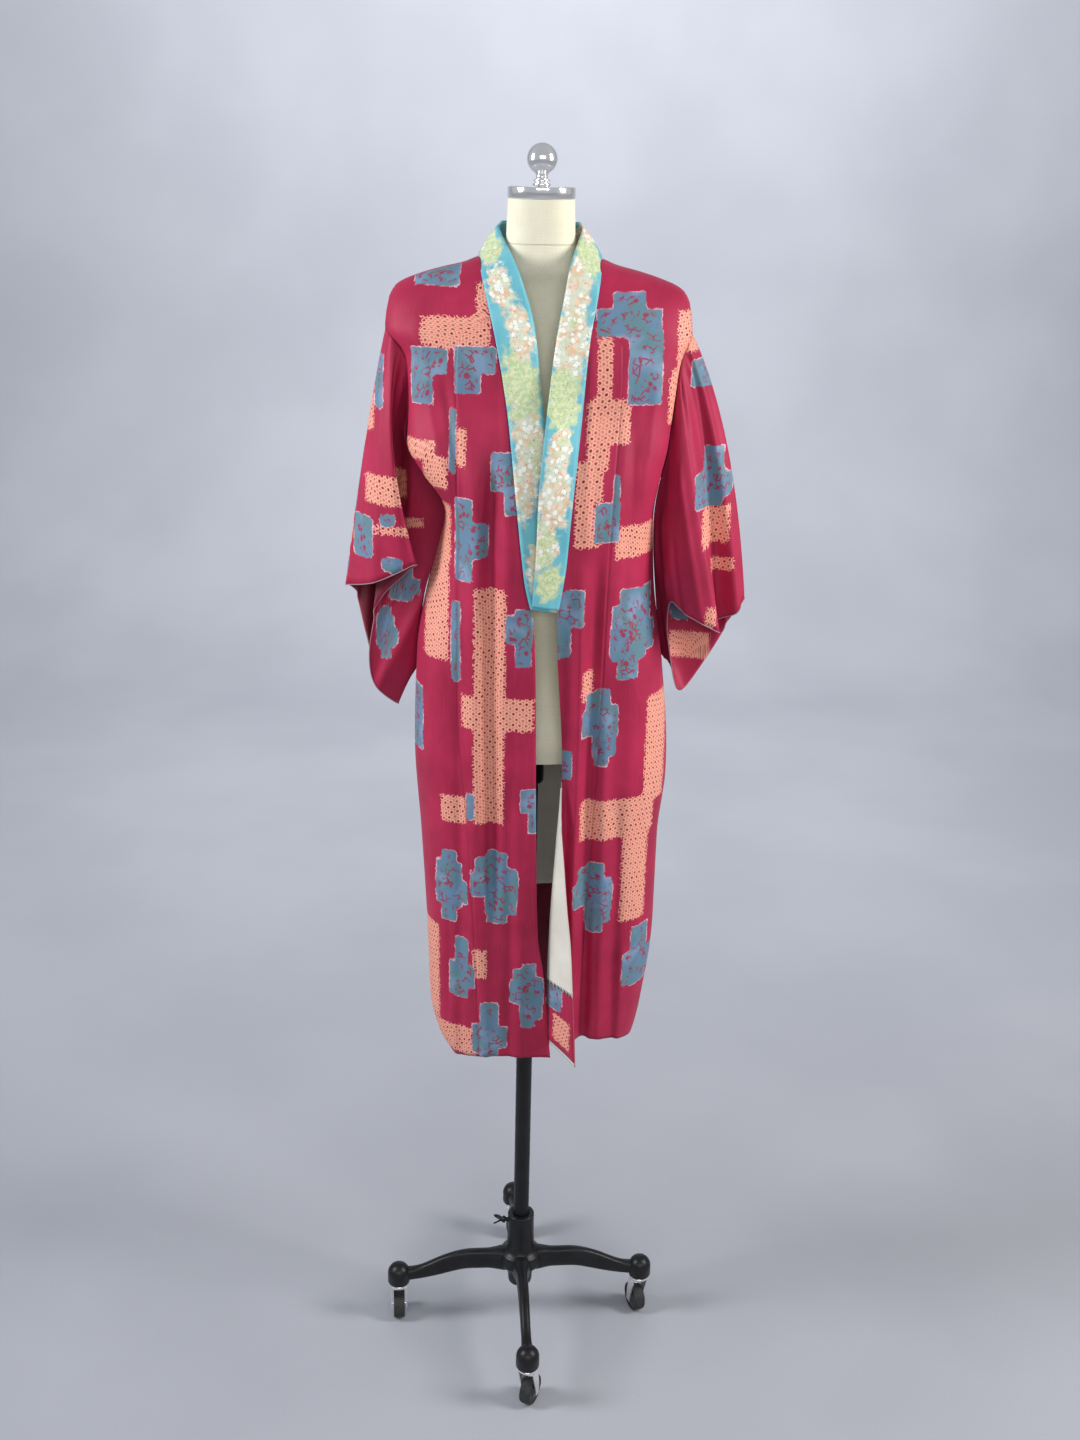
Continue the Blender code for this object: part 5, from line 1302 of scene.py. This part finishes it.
def hub_and_pole(iron, enamel):
    """The cast hub, the pole that slides in it and the thumbscrew."""
    foot, top, radius = upright("pole")
    profile = [(0, top), (radius - 0.001, top), (radius, top - 0.001),
               (radius, foot + 0.001), (radius - 0.001, foot), (0, foot)]
    place_turned("pole_tube", profile, 48, enamel, "pole", "pole")

    foot, top, flare = upright("hub")
    profile = [(BORE_R, top - 0.0006), (0.0150, top)] + arc(0.0022, 0.0203, top - 0.0022, 0, 90, 7)
    profile += HUB_BARREL + arc(0.008, flare - 0.008, 0.138, 30, 90, 7)
    profile += [(flare, 0.127)] + arc(0.009, flare - 0.009, 0.125, 90, 150, 7)
    profile += HUB_FOOT + [(0.0205, foot + 0.004), (0.0195, foot + 0.001), (0.0180, foot),
                           (BORE_R, foot), (BORE_R, top - 0.0006)]
    place_turned("hub_casting", profile, 64, iron, "base", "hub", 50)

    low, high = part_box("thumbscrew")
    screw_z = (low[2] + high[2]) / 2
    bm = bmesh.new()
    lying = Matrix.Rotation(-math.pi / 2, 4, "Y")
    turned(bm, SCREW_SHAFT, 24, lying)
    for sign in (-1, 1):
        rings = []
        for t in np.linspace(0, 1, 9):
            spread = sign * WING_SPREAD * math.sin(t * 1.35)
            rise = WING_ROOT + WING_LONG * t - 0.003 * t * t
            wide = 0.0016 + 0.0032 * math.sin(math.pi * min(t * 0.9 + 0.1, 1))
            thick = 0.0024 - 0.0010 * t
            rings.append([(-rise + wide * math.sin(a) * 0.6, spread + wide * math.sin(a) * 0.8,
                           thick * math.cos(a)) for a in np.linspace(0, 2 * math.pi, 14)[:-1]])
        loft(bm, rings)
    place("wing_screw", mesh_from("wing_screw", bm, 60), iron, "thumbscrew",
          (AXIS_X, 0, screw_z), replaces=["thumbscrew"])


def leg_mesh(ring_r):
    """One cast leg along +X with rounded edges, wider at the hub."""
    bm = bmesh.new()
    rings = []
    for t in np.linspace(0, 1, 34):
        r = LEG_ROOT_R + (ring_r - 0.012 - LEG_ROOT_R) * t
        drop = float(ramp((r - 0.085) / (ring_r - 0.100)))
        centre, half = LEG_ROOT_Z - LEG_DROP * drop, LEG_HALF - LEG_THINNING * drop
        root = 1 - float(ramp((r - 0.024) / 0.034))
        wide = 0.0100 - 0.0018 * float(ramp(t * 1.2)) + 0.0016 * float(ramp((t - 0.85) / 0.15))
        wide, half = wide + 0.0060 * root, half + 0.0030 * root
        slope = -LEG_DROP * 6 * drop * (1 - drop) / (ring_r - 0.100) if 0 < drop < 1 else 0.0
        ring = []
        for angle in np.linspace(0, 2 * math.pi, 25)[:-1]:
            c, s = math.cos(angle), math.sin(angle)
            y = wide * math.copysign(abs(c) ** 0.62, c)
            z = half * math.copysign(abs(s) ** 0.62, s)
            ring.append((r - z * slope, y, centre + z))
        rings.append(ring)
    loft(bm, rings)
    return mesh_from("leg_casting", bm, 60)


def cup_mesh(foot, top, radius):
    """A domed caster cup with a soft shoulder and a lip."""
    bm = bmesh.new()
    profile = arc(radius, 0, top - radius, 0, 90, 16)
    profile += [(radius, foot + 0.003), (radius - 0.0008, foot + 0.001), (radius - 0.003, foot),
                (0.0056, foot), (0.0056, foot + 0.022), (0, foot + 0.022)]
    turned(bm, profile, 48)
    return mesh_from("caster_cup", bm, 50)


def fork_mesh(top, wheel_z):
    """A caster fork: stem, dished cover, bent arms and axle ends."""
    bm = bmesh.new()
    profile = [(0, top + 0.018), (0.0050, top + 0.018), (0.0050, top), (0.0150, top)]
    profile += arc(0.0028, 0.0136, top - 0.0030, 30, 150, 8)
    profile += [(0.0130, top - 0.0078), (0.0110, top - FORK_COVER), (0, top - 0.0090)]
    turned(bm, profile, 40)
    outer = WHEEL_HALF + FORK_GAP
    for sign in (-1, 1):
        rings = []
        for t in np.linspace(0, 1, 18):
            bend = min(t / FORK_BEND, 1)
            x = TRAIL * float(ramp(t)) * 0.96
            y = outer * math.sin(bend * math.pi / 2)
            z = top - FORK_COVER - 0.0020 * bend ** 2
            z -= max(t - FORK_BEND, 0) / 0.70 * (top - 0.0108 - wheel_z + 0.0055)
            wide = 0.0115 - 0.0060 * t
            flat = bend * math.pi / 2
            dy, dz = math.sin(flat) * FORK_PLATE, math.cos(flat) * FORK_PLATE
            ring = [(x - wide, y - dy, z - dz), (x + wide, y - dy, z - dz),
                    (x + wide, y + dy, z + dz), (x - wide, y + dy, z + dz)]
            rings.append([(px, sign * py, pz) for px, py, pz in ring])
        loft(bm, rings)
    lying = Matrix.Translation((TRAIL, 0, wheel_z)) @ Matrix.Rotation(math.pi / 2, 4, "X")
    axle = outer + 0.0015
    turned(bm, [(0, axle), (0.0030, axle - 0.0006), (0.0042, axle - 0.0012), (0.0042, outer),
                (0.0030, outer), (0.0030, -outer), (0.0042, -outer), (0.0042, -axle + 0.0012),
                (0.0030, -axle + 0.0006), (0, -axle)], 24, lying)
    return mesh_from("caster_fork", bm, 40)


def wheel_meshes(radius):
    """The tyre and the moulded centre of a caster wheel, lying along Y."""
    half = WHEEL_HALF
    lying = Matrix.Rotation(math.pi / 2, 4, "X")
    rim = radius - 0.0065
    tyre = [(rim, half * 0.86)] + arc(0.0025, radius - 0.0029, half - 0.0025, 0, 75, 6)
    tyre += [(radius, half * 0.45), (radius, -half * 0.45)]
    tyre += arc(0.0025, radius - 0.0029, -half + 0.0025, 105, 180, 6) + [(rim, -half * 0.86)]
    tyre += [(rim, half * 0.86)]
    disc = [(0.0037, half), (0.0075, half), (0.0082, half - 0.0010), (0.0100, half * 0.55),
            (rim - 0.0020, half * 0.55), (rim - 0.0005, half * 0.80), (rim, half * 0.80),
            (rim, -half * 0.80), (rim - 0.0005, -half * 0.80), (rim - 0.0020, -half * 0.55),
            (0.0100, -half * 0.55), (0.0082, -half + 0.0010), (0.0075, -half), (0.0037, -half),
            (0.0037, half)]
    made = []
    for name, profile in (("tyre", tyre), ("disc", disc)):
        bm = bmesh.new()
        turned(bm, profile, 64, lying)
        made.append(mesh_from(name, bm, 40))
    return made


def casters(iron, chrome, rubber, disc_finish):
    """Four legs, each with its cup, fork and wheel."""
    cup_low, cup_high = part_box("cup_front")
    ring_r = math.hypot(middle("cup_front")[0] - AXIS_X, middle("cup_front")[1])
    radius = (cup_high[1] - cup_low[1]) / 2
    wheel_z = middle("wheel_front")[2]
    top = cup_low[2] - 0.0003
    wheel_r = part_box("wheel_front")[1][2] - wheel_z
    leg = leg_mesh(ring_r)
    cup = cup_mesh(cup_low[2], cup_high[2], radius)
    fork = fork_mesh(top, wheel_z)
    tyre, disc = wheel_meshes(wheel_r)
    for caster in CASTERS:
        x, y, _ = middle("cup_" + caster.name)
        angle = math.atan2(y, x - AXIS_X)
        swing = math.radians(caster.trail_degrees)
        hub_at = (x + TRAIL * math.cos(swing), y + TRAIL * math.sin(swing), wheel_z)
        for part, mesh, finish, rides, at, turn, node in (
                ("leg_casting_", leg, iron, "base", (AXIS_X, 0, 0), angle, "leg_"),
                ("caster_cup_", cup, iron, "base", (x, y, 0), 0.0, "cup_"),
                ("caster_fork_", fork, chrome, "swivel_" + caster.name, (x, y, 0), swing, "fork_"),
                ("tyre_", tyre, rubber, "wheel_" + caster.name, hub_at, swing, "wheel_"),
                ("wheel_disc_", disc, disc_finish, "wheel_" + caster.name, hub_at, swing, "")):
            nodes = [node + caster.name] if node else []
            place(part + caster.name, mesh.copy(), finish, rides, at, turn, nodes)


# ---------------------------------------------------------------- stage
SWEEP_BACK = 3.2          # where the floor starts to curve up into the backdrop
SWEEP_R = 1.4
SWEEP_HALF = 9.0
CHEST = (0, 0, 1.3)       # what the lamps aim at
SIDE_LAMP = (0.7, 1.4)
COOL = (0.96, 0.98, 1.0)
SKY = (0.90, 0.94, 1.0, 1)
SKY_STRENGTH = 0.34
CAMERA_AT = (AXIS_X + 0.0137, -2.238, 1.967)
CAMERA_DOWN = 20.52
CAMERA_ROLL = 1.279
LENS = 39.2
SENSOR = 36.0


def stage():
    """A pale floor that sweeps up behind, soft light from both sides, the camera."""
    profile = [(-8.0, 0.0), (0.0, 0.0), (SWEEP_BACK, 0.0)]
    profile += [(SWEEP_BACK + SWEEP_R * math.sin(a), SWEEP_R - SWEEP_R * math.cos(a))
                for a in np.linspace(0.1, math.pi / 2, 16)]
    profile += [(SWEEP_BACK + SWEEP_R, 7.0)]
    bm = bmesh.new()
    sides = [[bm.verts.new((x, y, z)) for y, z in profile] for x in (-SWEEP_HALF, SWEEP_HALF)]
    for i in range(len(profile) - 1):
        bm.faces.new((sides[0][i], sides[1][i], sides[1][i + 1], sides[0][i + 1]))
    data = bpy.data.meshes.new("floor")
    bm.to_mesh(data)
    bm.free()
    data.shade_smooth()
    s = Shader("floor_paint", Roughness=0.75, Specular_IOR_Level=0.2)
    spot = s.spot()
    tone = s.mix(s.ease(s.noise(spot, 1.5, 3.0), 0.3, 0.7), *FLOOR_TONES[:2])
    grain = s.noise(spot, 300.0, 2.0)
    tone = s.mix(s.times(s.ease(grain, 0.4, 0.6), 0.10), tone, FLOOR_TONES[2])
    data.materials.append(s.finish(tone))
    link("floor", data)

    world = bpy.data.worlds.new("studio")
    bpy.context.scene.world = world
    world.use_nodes = True
    backdrop = world.node_tree.nodes["Background"]
    backdrop.inputs[0].default_value = SKY
    backdrop.inputs[1].default_value = SKY_STRENGTH

    def area(name, at, aim, size, energy, color):
        lamp = bpy.data.lights.new(name, "AREA")
        lamp.shape = "RECTANGLE"
        lamp.size, lamp.size_y = size
        lamp.energy = energy
        lamp.color = color
        thing = link(name, lamp)
        thing.location = at
        thing.rotation_euler = (Vector(aim) - Vector(at)).to_track_quat("-Z", "Y").to_euler()

    area("right_side", (2.3, -0.6, 2.3), CHEST, SIDE_LAMP, 62, (1.0, 0.98, 0.96))
    area("left_side", (-2.3, -0.6, 2.3), CHEST, SIDE_LAMP, 58, COOL)
    area("front", (0.3, -4.2, 2.7), CHEST, (3.2, 1.4), 52, (1, 1, 1))
    area("wall", (0.0, 1.6, 3.4), (0, SWEEP_BACK + SWEEP_R, 2.2), (3.0, 1.0), 170, COOL)

    lens = bpy.data.cameras.new("camera")
    lens.sensor_fit = "VERTICAL"
    lens.sensor_height = SENSOR
    lens.lens = LENS
    camera = link("camera", lens)
    camera.matrix_world = (Matrix.Translation(CAMERA_AT)
                           @ Matrix.Rotation(math.radians(90 - CAMERA_DOWN), 4, "X")
                           @ Matrix.Rotation(math.radians(CAMERA_ROLL), 4, "Z"))
    bpy.context.scene.camera = camera
    bpy.context.scene.view_settings.view_transform = "Standard"


def main():
    """Make every piece."""
    stage()
    silk = figured_silk()
    lining = plain_silk("pale_lining", (0.80, 0.76, 0.68), (0.70, 0.66, 0.58))
    red_lining = plain_silk("red_lining", (0.240, 0.011, 0.034), (0.170, 0.008, 0.024))
    piping = plain_silk("piping_silk", (0.42, 0.26, 0.30), (0.30, 0.12, 0.16))
    right_back = body("right", silk, lining)
    left_back = body("left", silk, lining)
    overlaps(silk, lining, silk)
    back_linings(right_back, left_back, lining, red_lining)
    sleeve("right", silk, red_lining, piping)
    sleeve("left", silk, silk, piping)
    collar(collar_silk())

    chrome = worn("chrome", (0.92, 0.92, 0.93), (0.86, 0.86, 0.87), 0.12, 0.80, 30.0)
    iron = worn("black_casting", (0.006, 0.006, 0.007), (0.010, 0.010, 0.012), 0.36, 0.0, 60.0)
    enamel = worn("black_enamel", (0.004, 0.004, 0.005), (0.007, 0.007, 0.009), 0.40, 0.0, 40.0)
    rubber = worn("tyre_rubber", (0.020, 0.020, 0.021), (0.034, 0.034, 0.035), 0.62, 0.0, 90.0)
    moulded = worn("wheel_plastic", (0.050, 0.050, 0.054), (0.070, 0.070, 0.074), 0.45, 0.0, 60.0)
    dress_form(linen(), chrome, iron)
    hub_and_pole(iron, enamel)
    casters(iron, chrome, rubber, moulded)


main()
